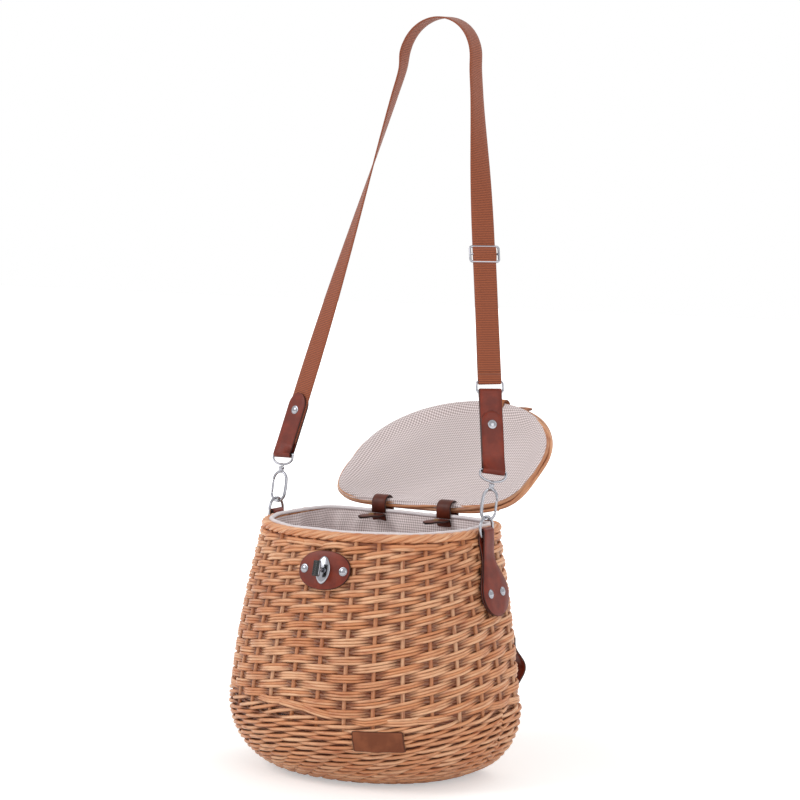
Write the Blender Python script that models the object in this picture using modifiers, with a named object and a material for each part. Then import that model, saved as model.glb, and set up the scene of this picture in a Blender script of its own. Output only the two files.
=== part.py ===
# A wicker shoulder basket: a woven D-shaped basket with a hinged lid, a leather
# hasp with a turn lock, two side tabs and a long webbing strap on swivel hooks.
# Metres, +Z up. The origin is on the floor under the basket, its front faces -Y.

import bpy
import bmesh
import math
from mathutils import Matrix, Vector

# Basket outline: half width, reach to the front and reach to the back
BASE_OUTLINE = (0.085, 0.070, 0.050)
BELLY_OUTLINE = (0.153, 0.135, 0.064)
RIM_OUTLINE = (0.121, 0.095, 0.077)
FRONT_ROUNDNESS = 2.15
BACK_ROUNDNESS = 4.4
BELLY_HEIGHT = 0.070
RIM_HEIGHT = 0.253
FLARE = 1.5
BAND_HEIGHT = 0.0675
BAND_SIDE_RISE = 0.0085
BAND_LEFT_RISE = 0.0135

# Wicker build-up, each depth measured inward from the outline
WALL_FACE_DEPTH = 0.0004
WALL_BACK_DEPTH = 0.0084
BASE_THICKNESS = 0.0084
BAND_FOOT = 0.009
BAND_PROUD = 0.0010
RIM_BORDER_RADIUS = 0.0046

# Weave: rows of rods that pass before one stake and behind the next
STAKES = 28
ROW_LOW_PITCH = 0.0086
ROW_HIGH_PITCH = 0.0070
ROW_CHANGE = 0.56
ROW_FACE = 0.42
ROD_BETWEEN_DEPTH = 0.0031
ROD_BEHIND_DEPTH = 0.0052
BAND_ROUNDS = 16
BAND_GROOVE = 0.0022
BAND_FILLS = (0.3, 0.8)

LINING_DEPTH = 0.0094
LINING_THICKNESS = 0.0012
TAPE_RADIUS = 0.0017
GAP = 0.0004

# Lid, measured when it is closed
LID_HALF_WIDTH = 0.117
LID_FRONT_REACH = 0.098
LID_BACK_REACH = 0.080
LID_FRONT_ROUNDNESS = 2.05
LID_BACK_ROUNDNESS = 4.4
LID_BORDER_RADIUS = 0.0045
LID_WEAVE_THICKNESS = 0.0050
LID_LINING_THICKNESS = 0.0016
LID_CROWN = 0.012
LID_LIFT = 0.0022
LID_OPEN_ANGLE = math.radians(147)
LID_SHUT_ANGLE = math.radians(0.8)

# Leather
LEATHER = 0.0022
RIVET_RADIUS = 0.0045
RIVET_HEIGHT = 0.0016
SMALL_RIVET_RADIUS = 0.0036
HINGE_SPACING = 0.080
HINGE_WIDTH = 0.017
HINGE_LOOP_RADIUS = 0.0067
HINGE_TAIL = 0.034
HASP_X = 0.010
HASP_WIDTH = 0.028
HASP_PLAY = 0.0014
HASP_SLOT = (0.0095, 0.0180)
HASP_PLATE_RIM = (0.0045, 0.0055)
HASP_END = 0.0005
HASP_REST_ANGLE = math.radians(33)
LOCK_DROP = 0.037
LOCK_HEIGHT = RIM_HEIGHT - LOCK_DROP
LOCK_PATCH_SIZE = (0.058, 0.039)
LOCK_PLATE_SIZE = (0.019, 0.028)
LOCK_RIVET_SPACING = 0.044
METAL_PLATE = 0.0012
KNOB_NECK_RADIUS = 0.0026
KNOB_NECK_LENGTH = 0.0080
KNOB_HEAD = (0.0075, 0.0155, 0.0045)
LABEL_SIZE = (0.050, 0.0205)
LABEL_THICKNESS = 0.0016
LABEL_X = 0.0795
LABEL_DROP = 0.012
LABEL_HEIGHT = BAND_HEIGHT - LABEL_DROP
SIDE_TAB_Y = 0.004
TAB_RIVET_SPACING = 0.022
BACK_STRAP_X = 0.121
BACK_STRAP_LOW = 0.067
BACK_STRAP_HIGH = 0.142
BACK_STRAP_BULGE = 0.014
BACK_STRAP_WIDTH = 0.020

# Metalwork of the strap
RING_X = 0.1285
RING_RADIUS = 0.0115
RING_LIFT = 0.0015
RING_HEIGHT = RIM_HEIGHT + RING_LIFT
WIRE_RADIUS = 0.0015
HOOK_WIDTH = 0.016
HOOK_LOOP_LENGTH = 0.030
GATE_LENGTH = 0.0130
GATE_RADIUS = 0.0012
SWIVEL_RADIUS = 0.0030
SWIVEL_LENGTH = 0.0050
EYE_WIRE_RADIUS = 0.0012
EYE_DROP = 0.0110
RECT_RING_SIZE = (0.029, 0.013)
RECT_RING_WIRE = 0.0011
SLIDER_SIZE = (0.032, 0.018)
SLIDER_WIRE = 0.0012

# Strap
WEBBING_WIDTH = 0.0234
WEBBING_THICKNESS = 0.0016
WEBBING_HEM = 0.008
STRAP_END_WIDTH = 0.0232
STRAP_LEAN = math.radians(13.4)
ARCH_HALF_WIDTH = 0.045
ARCH_FOOT_Y = 0.115
ARCH_FOOT_HEIGHT = 0.708
ARCH_TOP_Y = 0.122
ARCH_TOP_HEIGHT = 0.762
RIGHT_TURN = math.radians(45)
LEFT_TURN = math.radians(173.5)
RIGHT_END_LENGTH = 0.080
LEFT_END_LENGTH = 0.066
SLIDER_DISTANCE = 0.222

# Number of points round the basket
AROUND = 44


def clear_scene():
    for thing in list(bpy.data.objects):
        bpy.data.objects.remove(thing, do_unlink=True)


def new_collection(name):
    collection = bpy.data.collections.new(name)
    bpy.context.scene.collection.children.link(collection)
    return collection


def make_material(name, colour, roughness, metallic=0.0):
    material = bpy.data.materials.new(name)
    material.use_nodes = True
    shader = material.node_tree.nodes["Principled BSDF"]
    shader.inputs["Base Color"].default_value = (*colour, 1.0)
    shader.inputs["Roughness"].default_value = roughness
    shader.inputs["Metallic"].default_value = metallic
    return material


clear_scene()
PARTS = new_collection("wicker_backpack")
CUTTERS = new_collection("cutters")
WICKER = make_material("peeled_willow", (0.58, 0.27, 0.11), 0.5)
BROWN_LEATHER = make_material("brown_leather", (0.17, 0.028, 0.012), 0.45)
DARK_LEATHER = make_material("dark_leather", (0.05, 0.014, 0.009), 0.5)
WEBBING = make_material("brown_webbing", (0.25, 0.075, 0.035), 0.8)
COTTON = make_material("checked_cotton", (0.62, 0.52, 0.52), 0.9)
NICKEL = make_material("nickel", (0.75, 0.75, 0.77), 0.2, 1.0)
BLACK = make_material("black_enamel", (0.02, 0.02, 0.02), 0.3)


# General helpers

def mix(low, high, share):
    return low + (high - low) * share


def smooth_step(value, low, high):
    share = min(max((value - low) / (high - low), 0.0), 1.0)
    return share * share * (3 - 2 * share)


def add_object(name, data, material, parent=None, place=(0, 0, 0), turn=(0, 0, 0)):
    """A new object whose place and turn are given in its parent's frame."""
    data.materials.clear()
    data.materials.append(material)
    piece = bpy.data.objects.new(name, data)
    PARTS.objects.link(piece)
    piece.parent = parent
    piece.location = place
    piece.rotation_euler = turn
    return piece


def add_empty(name, place, parent=None, angle=0.0):
    pivot = bpy.data.objects.new(name, None)
    PARTS.objects.link(pivot)
    pivot.parent = parent
    pivot.location = place
    pivot.rotation_euler = (angle, 0, 0)
    pivot.empty_display_size = 0.02
    return pivot


def facing(out, up=(0, 0, 1)):
    """The turn that points an object's own +Z along out and its own +Y close to up."""
    third = Vector(out).normalized()
    second = Vector(up)
    second = (second - third * second.dot(third)).normalized()
    first = second.cross(third)
    return Matrix((first, second, third)).transposed().to_euler()


def finish_mesh(build, name):
    bmesh.ops.recalc_face_normals(build, faces=build.faces)
    mesh = bpy.data.meshes.new(name)
    build.to_mesh(mesh)
    build.free()
    mesh.shade_smooth()
    mesh.set_sharp_from_angle(angle=math.radians(40))
    return mesh


def loft(name, rings, closed_loop=False):
    """A mesh through rings of equal length, capped or joined end to end."""
    build = bmesh.new()
    rows = [[build.verts.new(point) for point in ring] for ring in rings]
    count = len(rows[0])
    pairs = list(zip(rows, rows[1:]))
    if closed_loop:
        pairs.append((rows[-1], rows[0]))
    for low, high in pairs:
        for k in range(count):
            n = (k + 1) % count
            build.faces.new((low[k], low[n], high[n], high[k]))
    if not closed_loop:
        build.faces.new(rows[0])
        build.faces.new(rows[-1])
    return finish_mesh(build, name)


def strip(name, route, sides, half_widths, thickness, closed_loop=False, squared=True):
    """A flat strap: a rectangle carried along a route, its width along the side vectors."""
    rings = []
    count = len(route)
    for k, point in enumerate(route):
        ahead = route[(k + 1) % count] if closed_loop else route[min(k + 1, count - 1)]
        behind = route[k - 1] if closed_loop else route[max(k - 1, 0)]
        run = (Vector(ahead) - Vector(behind)).normalized()
        side = Vector(sides[k])
        if squared:
            side = (side - run * side.dot(run)).normalized()
        face = run.cross(side).normalized() * (thickness / 2)
        reach = side * half_widths[k]
        centre = Vector(point)
        rings.append([centre - reach - face, centre + reach - face,
                      centre + reach + face, centre - reach + face])
    return loft(name, rings, closed_loop)


def tube(name, points, radius, closed_loop=False, resolution=2):
    """A round wire: a curve with a bevel and filled caps."""
    curve = bpy.data.curves.new(name, "CURVE")
    curve.dimensions = "3D"
    curve.bevel_depth = radius
    curve.bevel_resolution = resolution
    curve.use_fill_caps = not closed_loop
    spline = curve.splines.new("POLY")
    spline.points.add(len(points) - 1)
    for spot, point in zip(spline.points, points):
        spot.co = (*point, 1)
    spline.use_cyclic_u = closed_loop
    return curve


def flat_plate(name, outlines, thickness):
    """A flat outline with a thickness; further outlines inside the first are holes."""
    curve = bpy.data.curves.new(name, "CURVE")
    curve.dimensions = "2D"
    curve.fill_mode = "BOTH"
    curve.extrude = thickness / 2
    for outline in outlines:
        spline = curve.splines.new("POLY")
        spline.points.add(len(outline) - 1)
        for spot, (x, y) in zip(spline.points, outline):
            spot.co = (x, y, 0, 1)
        spline.use_cyclic_u = True
        spline.use_smooth = False
    return curve


def ellipse(half_width, half_height, count=20):
    return [(math.cos(math.tau * k / count) * half_width, math.sin(math.tau * k / count) * half_height)
            for k in range(count)]


def box_mesh(name, size):
    build = bmesh.new()
    bmesh.ops.create_cube(build, size=1, matrix=Matrix.Diagonal((*size, 1)))
    return finish_mesh(build, name)


def cylinder_mesh(name, radius, length, sides=12):
    """A cylinder that stands on its origin along +Z."""
    build = bmesh.new()
    bmesh.ops.create_cone(build, cap_ends=True, segments=sides, radius1=radius, radius2=radius, depth=length,
                          matrix=Matrix.Translation((0, 0, length / 2)))
    return finish_mesh(build, name)


def rivet_profile(radius):
    """Half of a low domed head, which a Screw modifier turns round +Z."""
    profile = [(0, RIVET_HEIGHT), (radius * 0.5, RIVET_HEIGHT * 0.9), (radius * 0.85, RIVET_HEIGHT * 0.55),
               (radius, RIVET_HEIGHT * 0.1), (radius, 0), (0, 0)]
    mesh = bpy.data.meshes.new("rivet_profile")
    edges = [(k, k + 1) for k in range(len(profile) - 1)]
    mesh.from_pydata([(x, 0, z) for x, z in profile], edges, [])
    return mesh


RIVET = rivet_profile(RIVET_RADIUS)
SMALL_RIVET = rivet_profile(SMALL_RIVET_RADIUS)


def add_rivet(name, place, out, parent=None, profile=RIVET):
    rivet = add_object(name, profile, NICKEL, parent, place, facing(out, (0.2, 0.3, 1)))
    screw = rivet.modifiers.new("turned", "SCREW")
    screw.angle = math.tau
    screw.steps = 12
    screw.render_steps = 12
    screw.use_merge_vertices = True
    screw.merge_threshold = 0.00001
    return rivet


def to_mesh(piece, name):
    """Turns a curve object into a mesh object in the same place, with its caps joined on."""
    graph = bpy.context.evaluated_depsgraph_get()
    mesh = bpy.data.meshes.new_from_object(piece.evaluated_get(graph))
    build = bmesh.new()
    build.from_mesh(mesh)
    bmesh.ops.remove_doubles(build, verts=build.verts, dist=0.00001)
    mesh = finish_mesh(build, name)
    material = piece.data.materials[0]
    parent = piece.parent
    place = tuple(piece.location)
    bpy.data.objects.remove(piece, do_unlink=True)
    return add_object(name, mesh, material, parent, place)


def use_as_tool(target, tool, operation):
    """Cuts the tool out of the target, or joins it on, and puts the tool out of sight."""
    PARTS.objects.unlink(tool)
    CUTTERS.objects.link(tool)
    tool.hide_render = True
    tool.display_type = "WIRE"
    change = target.modifiers.new(tool.name, "BOOLEAN")
    change.object = tool
    change.operation = operation
    change.solver = "EXACT"


def cut_box(target, name, centre, size):
    tool = add_object(name, box_mesh(name, size), WICKER, target.parent, centre)
    use_as_tool(target, tool, "DIFFERENCE")


# The basket's surface

def rounded_section(turn, half_width, front, back, front_power, back_power):
    c = math.cos(turn)
    s = math.sin(turn)
    power = 2 / (back_power if s > 0 else front_power)
    reach = back if s > 0 else front
    x = math.copysign(abs(c) ** power, c) * half_width
    y = math.copysign(abs(s) ** power, s) * reach
    return x, y


def share_evenly(outline, count):
    """Turns that share an outline's girth equally, starting at the right side."""
    samples = 1440
    places = [outline(math.tau * k / samples) for k in range(samples + 1)]
    lengths = [0.0]
    for a, b in zip(places, places[1:]):
        lengths.append(lengths[-1] + math.dist(a, b))
    turns = []
    k = 0
    for n in range(count):
        target = lengths[-1] * n / count
        while lengths[k + 1] < target:
            k += 1
        share = (target - lengths[k]) / (lengths[k + 1] - lengths[k])
        turns.append(math.tau * (k + share) / samples)
    return turns


def height_of(level):
    if level <= 1:
        return BELLY_HEIGHT * (1 - math.cos(level * math.pi / 2))
    return mix(BELLY_HEIGHT, RIM_HEIGHT, level - 1)


def level_of(height):
    """0 at the floor, 1 at the belly and 2 at the rim."""
    if height <= BELLY_HEIGHT:
        return math.acos(1 - height / BELLY_HEIGHT) * 2 / math.pi
    return 1 + (height - BELLY_HEIGHT) / (RIM_HEIGHT - BELLY_HEIGHT)


def outline_of(level):
    if level <= 1:
        share = math.sin(level * math.pi / 2)
        return [mix(a, b, share) for a, b in zip(BASE_OUTLINE, BELLY_OUTLINE)]
    share = (level - 1) ** FLARE
    return [mix(a, b, share) for a, b in zip(BELLY_OUTLINE, RIM_OUTLINE)]


def surface_point(turn, level):
    x, y = rounded_section(turn, *outline_of(level), FRONT_ROUNDNESS, BACK_ROUNDNESS)
    return Vector((x, y, height_of(level)))


def surface_normal(turn, level):
    step = 0.0005
    around = surface_point(turn + step, level) - surface_point(turn - step, level)
    low = max(level - step, 0.0)
    up = surface_point(turn, low + 2 * step) - surface_point(turn, low)
    return around.cross(up).normalized()


def wall_point(turn, level, depth):
    """A point at a depth inside the basket's outline, along the wall's own normal."""
    return surface_point(turn, level) - surface_normal(turn, level) * depth


def turn_at_x(x, level, behind=False):
    """The turn at which the outline of a level reaches x, on its front or its back."""
    half_width = outline_of(level)[0]
    power = (BACK_ROUNDNESS if behind else FRONT_ROUNDNESS) / 2
    turn = math.acos(math.copysign((abs(x) / half_width) ** power, x))
    return turn if behind else -turn


TURNS = share_evenly(lambda turn: surface_point(turn, 1.0), AROUND)
STAKE_TURNS = share_evenly(lambda turn: surface_point(turn, 1.0), 2 * STAKES)


def wall_ring(level, depth, height=None):
    """A ring at a depth in the wall; a given height trims its edge level."""
    ring = [wall_point(turn, level, depth) for turn in TURNS]
    if height is not None:
        for point in ring:
            point.z = height
    return ring


def rim_ring(depth, height):
    """A level ring at a depth inside the rim."""
    ring = []
    level = level_of(RIM_HEIGHT - RIM_BORDER_RADIUS)
    for turn in TURNS:
        normal = surface_normal(turn, level)
        normal.z = 0
        spot = surface_point(turn, level) - normal.normalized() * depth
        ring.append((spot.x, spot.y, height))
    return ring


# The basket

WALL_TOP = RIM_HEIGHT - 2 * RIM_BORDER_RADIUS - GAP
ROW_END = WALL_TOP - GAP
TAPE_DEPTH = LINING_DEPTH + LINING_THICKNESS / 2


def foot_ring(inset, height):
    sizes = [size - inset for size in BASE_OUTLINE]
    return [(*rounded_section(turn, *sizes, FRONT_ROUNDNESS, BACK_ROUNDNESS), height) for turn in TURNS]


def make_base():
    outline = [(x, y) for x, y, z in foot_ring(BAND_FOOT + GAP, 0)]
    base = flat_plate("base_weave", [outline], BASE_THICKNESS)
    add_object("base_weave", base, WICKER, place=(0, 0, BASE_THICKNESS / 2))


def band_top(turn):
    """The band stands higher at both sides and on the left half of the front."""
    x, y, z = surface_point(turn, 1.0)
    left = smooth_step(-x, -0.08, 0.03) * smooth_step(-y, -0.06, 0.06)
    return BAND_HEIGHT + BAND_SIDE_RISE * (x / BELLY_OUTLINE[0]) ** 4 + BAND_LEFT_RISE * left


def band_ring(share, depth):
    """A ring at a share of the band's height; its depth may follow the level."""
    ring = []
    for turn in TURNS:
        level = level_of(band_top(turn)) * share
        ring.append(wall_point(turn, level, depth(level)))
    return ring


def make_band():
    """Each round of the wale is a ridge between two grooves."""
    outer = [foot_ring(BAND_FOOT, 0)]
    for k in range(2 * BAND_ROUNDS + 1):
        groove = 0 if k % 2 or k == 2 * BAND_ROUNDS else BAND_GROOVE
        outer.append(band_ring(k / BAND_ROUNDS / 2,
                               lambda level: (groove - BAND_PROUD) * smooth_step(level, *BAND_FILLS)))
    inner = [foot_ring(BAND_FOOT, BASE_THICKNESS)]
    for k in range(2, 7):
        inner.append(band_ring(k / 6, lambda level: WALL_BACK_DEPTH))
    add_object("base_band", loft("base_band", outer + inner[::-1], True), WICKER)


def weave_rows():
    """The rows' heights above the band's lowest place, each with its pitch."""
    rows = []
    edge = 0.0
    while True:
        pitch = ROW_LOW_PITCH if edge < ROW_CHANGE * (ROW_END - BAND_HEIGHT) else ROW_HIGH_PITCH
        if edge + pitch > ROW_END - BAND_HEIGHT:
            return rows
        rows.append((edge + pitch / 2, pitch))
        edge += pitch


def weave_ring(row, height):
    """A ring through one row: before every second stake, behind the others."""
    ring = []
    share = height / (ROW_END - BAND_HEIGHT)
    for k, turn in enumerate(STAKE_TURNS):
        place = mix(band_top(turn) + 2 * GAP, ROW_END, share)
        if k % 2:
            depth = ROD_BETWEEN_DEPTH
        else:
            depth = ROD_BEHIND_DEPTH if (k // 2 + row) % 2 else WALL_FACE_DEPTH
        ring.append(wall_point(turn, level_of(place), depth))
    return ring


def make_wall():
    def edge_ring(depth, share):
        return [wall_point(turn, mix(level_of(band_top(turn) + GAP), level_of(WALL_TOP), share), depth)
                for turn in STAKE_TURNS]

    outer = [edge_ring(ROD_BETWEEN_DEPTH, 0)]
    for row, (height, pitch) in enumerate(weave_rows()):
        outer.append(weave_ring(row, height - pitch * ROW_FACE))
        outer.append(weave_ring(row, height + pitch * ROW_FACE))
    outer.append(edge_ring(ROD_BETWEEN_DEPTH, 1))
    inner = [edge_ring(WALL_BACK_DEPTH, k / 6) for k in range(7)]
    for ring in (outer[-1], inner[-1]):
        for point in ring:
            point.z = WALL_TOP
    wall = add_object("wall_weave", loft("wall_weave", outer + inner[::-1], True), WICKER)
    for x, word in hinge_places():
        cut_box(wall, "wall_slot_" + word, *hinge_slot(x))


def make_rim():
    border = tube("rim_border", rim_ring(RIM_BORDER_RADIUS - GAP / 2, RIM_HEIGHT - RIM_BORDER_RADIUS),
                  RIM_BORDER_RADIUS, True)
    add_object("rim_border", border, WICKER)
    tape = tube("rim_tape", rim_ring(TAPE_DEPTH, RIM_HEIGHT), TAPE_RADIUS, True, 1)
    add_object("rim_tape", tape, COTTON)


def make_lining():
    """A bag of cloth from the floor to the tape, whose rings follow the band and the wall."""
    edge = RIM_HEIGHT - TAPE_RADIUS - GAP

    def side_rings(depth):
        rings = [band_ring(k / 6, lambda level: depth) for k in range(2, 7)]
        for k in range(1, 7):
            rings.append([wall_point(turn, mix(level_of(band_top(turn)), level_of(edge), k / 6), depth)
                          for turn in TURNS])
        for point in rings[-1]:
            point.z = edge
        return rings

    floor = BASE_THICKNESS + GAP
    outer = [foot_ring(BAND_FOOT + GAP, floor)] + side_rings(LINING_DEPTH)
    inner = [foot_ring(BAND_FOOT + GAP + LINING_THICKNESS, floor + LINING_THICKNESS)]
    inner += side_rings(LINING_DEPTH + LINING_THICKNESS)
    lining = add_object("lining", loft("lining", outer + inner[::-1]), COTTON)
    for x, word in hinge_places():
        cut_box(lining, "lining_slot_" + word, *hinge_slot(x))


# Lid hinge: leather loops round the back of the rim border and of the lid border

HINGE_Y = RIM_OUTLINE[2] - LID_BORDER_RADIUS
HINGE_HEIGHT = RIM_HEIGHT + LID_LIFT + LID_BORDER_RADIUS
LOOP_Y = RIM_OUTLINE[2] - (TAPE_DEPTH + TAPE_RADIUS) / 2
LOOP_LOW = RIM_HEIGHT - RIM_BORDER_RADIUS - GAP
TAIL_BEND = 0.0025


def hinge_places():
    return ((-HINGE_SPACING / 2, "left"), (HINGE_SPACING / 2, "right"))


def hinge_slot(x):
    """The slit through wall and lining that a hinge loop passes, as a centre and a size."""
    reach = HINGE_LOOP_RADIUS + LEATHER + GAP
    low = LOOP_LOW - reach
    high = LOOP_LOW
    return (x, LOOP_Y, (low + high) / 2), (HINGE_WIDTH + 2 * GAP, 4 * reach, high - low)


def arc(centre_y, centre_z, radius, start, end, steps):
    points = []
    for k in range(steps + 1):
        turn = math.radians(mix(start, end, k / steps))
        points.append((centre_y + math.cos(turn) * radius, centre_z + math.sin(turn) * radius))
    return points


def make_hinge(x, word):
    radius = HINGE_LOOP_RADIUS + LEATHER / 2
    inner_y = LOOP_Y - radius
    tail_z = RIM_HEIGHT - TAPE_RADIUS - TAIL_BEND
    path = [(inner_y - HINGE_TAIL, tail_z), (inner_y - HINGE_TAIL * 0.86, tail_z)]
    path += arc(inner_y - TAIL_BEND, tail_z - TAIL_BEND, TAIL_BEND, 90, 0, 3)
    path += arc(LOOP_Y, LOOP_LOW, radius, 180, 360, 8)
    path += arc(LOOP_Y, HINGE_HEIGHT, radius, 0, 180, 8)
    path.append((inner_y, tail_z + LEATHER / 2 + GAP))
    route = [(x, y, z) for y, z in path]
    halves = [HINGE_WIDTH / 2] * len(route)
    halves[0] = HINGE_WIDTH * 0.15
    name = "hinge_strap_" + word
    add_object(name, strip(name, route, [(1, 0, 0)] * len(route), halves, LEATHER), DARK_LEATHER)
    seat = LEATHER / 2 + GAP
    add_rivet("hinge_rivet_inner_" + word, (x, inner_y - HINGE_TAIL * 0.4, tail_z + seat), (0, 0, 1),
              profile=SMALL_RIVET)
    add_rivet("hinge_rivet_outer_" + word, (x, LOOP_Y + radius + seat, RIM_HEIGHT), (0, 1, 0),
              profile=SMALL_RIVET)


# Lid, drawn closed about its hinge axis and then opened by its empty

LID_CENTRE_Y = LID_BORDER_RADIUS - LID_BACK_REACH
LID_FRONT_Y = LID_CENTRE_Y - LID_FRONT_REACH + LID_BORDER_RADIUS
LID_WEAVE_LOW = 0.0008 - LID_WEAVE_THICKNESS / 2
LID_LINING_LOW = LID_WEAVE_LOW - LID_LINING_THICKNESS - GAP


def lid_section(turn, inset=0.0):
    return rounded_section(turn, LID_HALF_WIDTH - inset, LID_FRONT_REACH - inset, LID_BACK_REACH - inset,
                           LID_FRONT_ROUNDNESS, LID_BACK_ROUNDNESS)


LID_TURNS = share_evenly(lid_section, AROUND - 4)


def lid_ring(inset, share, lift):
    """A ring of the lid in its own frame, drawn in to a share of the outline and lifted."""
    ring = []
    for turn in LID_TURNS:
        x, y = lid_section(turn, inset)
        ring.append((x * share, LID_CENTRE_Y + y * share, lift))
    return ring


def lid_sheet(name, low, thickness):
    """A crowned sheet that fits inside the lid border."""
    inset = 2 * LID_BORDER_RADIUS + GAP
    shares = [0.3, 0.6, 0.82, 1.0]
    lower = [lid_ring(inset, share, low + LID_CROWN * (1 - share ** 2)) for share in shares]
    upper = [lid_ring(inset, share, low + thickness + LID_CROWN * (1 - share ** 2)) for share in shares]
    return loft(name, lower + upper[::-1])


def make_lid(pivot):
    border = tube("lid_border", lid_ring(LID_BORDER_RADIUS, 1.0, 0.0), LID_BORDER_RADIUS, True)
    add_object("lid_border", border, WICKER, pivot)
    weave = lid_sheet("lid_weave", LID_WEAVE_LOW, LID_WEAVE_THICKNESS)
    lining = lid_sheet("lid_lining", LID_LINING_LOW, LID_LINING_THICKNESS)
    hinge_reach = HINGE_Y - LOOP_Y + HINGE_LOOP_RADIUS + LEATHER + GAP
    hasp_reach = HASP_LOOP_RADIUS + LEATHER + HASP_PLAY + GAP
    for name, mesh, material in (("lid_weave", weave, WICKER), ("lid_lining", lining, COTTON)):
        sheet = add_object(name, mesh, material, pivot)
        for x, word in hinge_places():
            cut_box(sheet, name + "_slot_" + word, (x, 0, 0), (HINGE_WIDTH + 3 * GAP, 2 * hinge_reach, 0.06))
        cut_box(sheet, name + "_slot_front", (HASP_X, LID_FRONT_Y, 0),
                (HASP_WIDTH + 4 * GAP, 2 * hasp_reach, 0.06))


# Hasp: a leather tab that turns round the front of the lid border, with a slotted plate

HASP_LOOP_RADIUS = LID_BORDER_RADIUS + HASP_PLAY


def lid_border_y(x):
    """Where the centre of the lid's front border lies at x, behind the hinge axis."""
    share = abs(x) / (LID_HALF_WIDTH - LID_BORDER_RADIUS)
    reach = LID_FRONT_REACH - LID_BORDER_RADIUS
    return LID_CENTRE_Y - reach * (1 - share ** LID_FRONT_ROUNDNESS) ** (1 / LID_FRONT_ROUNDNESS)


HASP_PIVOT_Y = (lid_border_y(HASP_X - HASP_WIDTH / 2) + lid_border_y(HASP_X + HASP_WIDTH / 2)) / 2


def lock_turn_and_level():
    level = level_of(LOCK_HEIGHT)
    return turn_at_x(HASP_X, level), level


def hasp_reach_to_lock():
    """How far down the wall the lock lies from the hasp's pivot."""
    turn, level = lock_turn_and_level()
    normal = surface_normal(turn, level)
    down = Vector((0, normal.z, -normal.y)).normalized()
    if down.z > 0:
        down = -down
    shut = Matrix.Rotation(-LID_SHUT_ANGLE, 3, "X")
    pivot = Vector((HASP_X, HINGE_Y, HINGE_HEIGHT)) + shut @ Vector((0, HASP_PIVOT_Y, 0))
    return (surface_point(turn, level) - pivot).dot(down)


HASP_SLOT_DISTANCE = hasp_reach_to_lock()
HASP_LENGTH = HASP_SLOT_DISTANCE + HASP_SLOT[1] / 2 + HASP_PLATE_RIM[1] + HASP_END


def make_hasp(pivot):
    radius = HASP_LOOP_RADIUS + LEATHER / 2
    loop = arc(0, 0, radius, 150, 450, 14)
    shares = [(0.10, 1.0), (0.27, 1.0), (0.5, 1.0), (0.73, 1.0), (0.88, 0.94), (0.94, 0.80), (0.98, 0.55),
              (1.0, 0.25)]
    route = [(0, y, z) for y, z in loop]
    halves = [HASP_WIDTH / 2] * len(route)
    for share, width in shares:
        route.append((0, -HASP_LENGTH * share, radius))
        halves.append(HASP_WIDTH / 2 * width)
    tab = strip("hasp_tab", route, [(1, 0, 0)] * len(route), halves, LEATHER)
    tab = add_object("hasp_tab", tab, BROWN_LEATHER, pivot)
    cut_box(tab, "hasp_slot", (0, -HASP_SLOT_DISTANCE, radius), (*HASP_SLOT, 4 * LEATHER))
    outer = ellipse(HASP_SLOT[0] / 2 + HASP_PLATE_RIM[0], HASP_SLOT[1] / 2 + HASP_PLATE_RIM[1])
    inner = [rounded_section(math.tau * k / 24, HASP_SLOT[0] / 2, HASP_SLOT[1] / 2, HASP_SLOT[1] / 2, 5, 5)
             for k in range(24)]
    plate = flat_plate("hasp_plate", [outer, inner], METAL_PLATE)
    add_object("hasp_plate", plate, NICKEL, pivot,
               (0, -HASP_SLOT_DISTANCE, radius + LEATHER / 2 + GAP + METAL_PLATE / 2))


# Turn lock and label on the front wall

def on_wall(x, height, depth):
    level = level_of(height)
    return wall_point(turn_at_x(x, level), level, depth)


def wall_patch(name, centre_x, centre_height, size, thickness, power, stand):
    """A leaf that follows the wall: rings of a rounded outline, inner face and outer face."""
    across = on_wall(centre_x + 0.01, centre_height, 0) - on_wall(centre_x - 0.01, centre_height, 0)
    upward = on_wall(centre_x, centre_height + 0.005, 0) - on_wall(centre_x, centre_height - 0.005, 0)
    lean = 0.02 / across.length
    rise = 0.01 / upward.length
    rings = []
    for depth, shares in ((-stand, (0.4, 0.75, 1.0)), (-stand - thickness, (1.0, 0.75, 0.4))):
        for share in shares:
            ring = []
            for k in range(28):
                x, y = rounded_section(math.tau * k / 28, size[0] / 2 * share, size[1] / 2 * share,
                                       size[1] / 2 * share, power, power)
                ring.append(on_wall(centre_x + x * lean, centre_height + y * rise, depth))
            rings.append(ring)
    return loft(name, rings)


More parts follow.
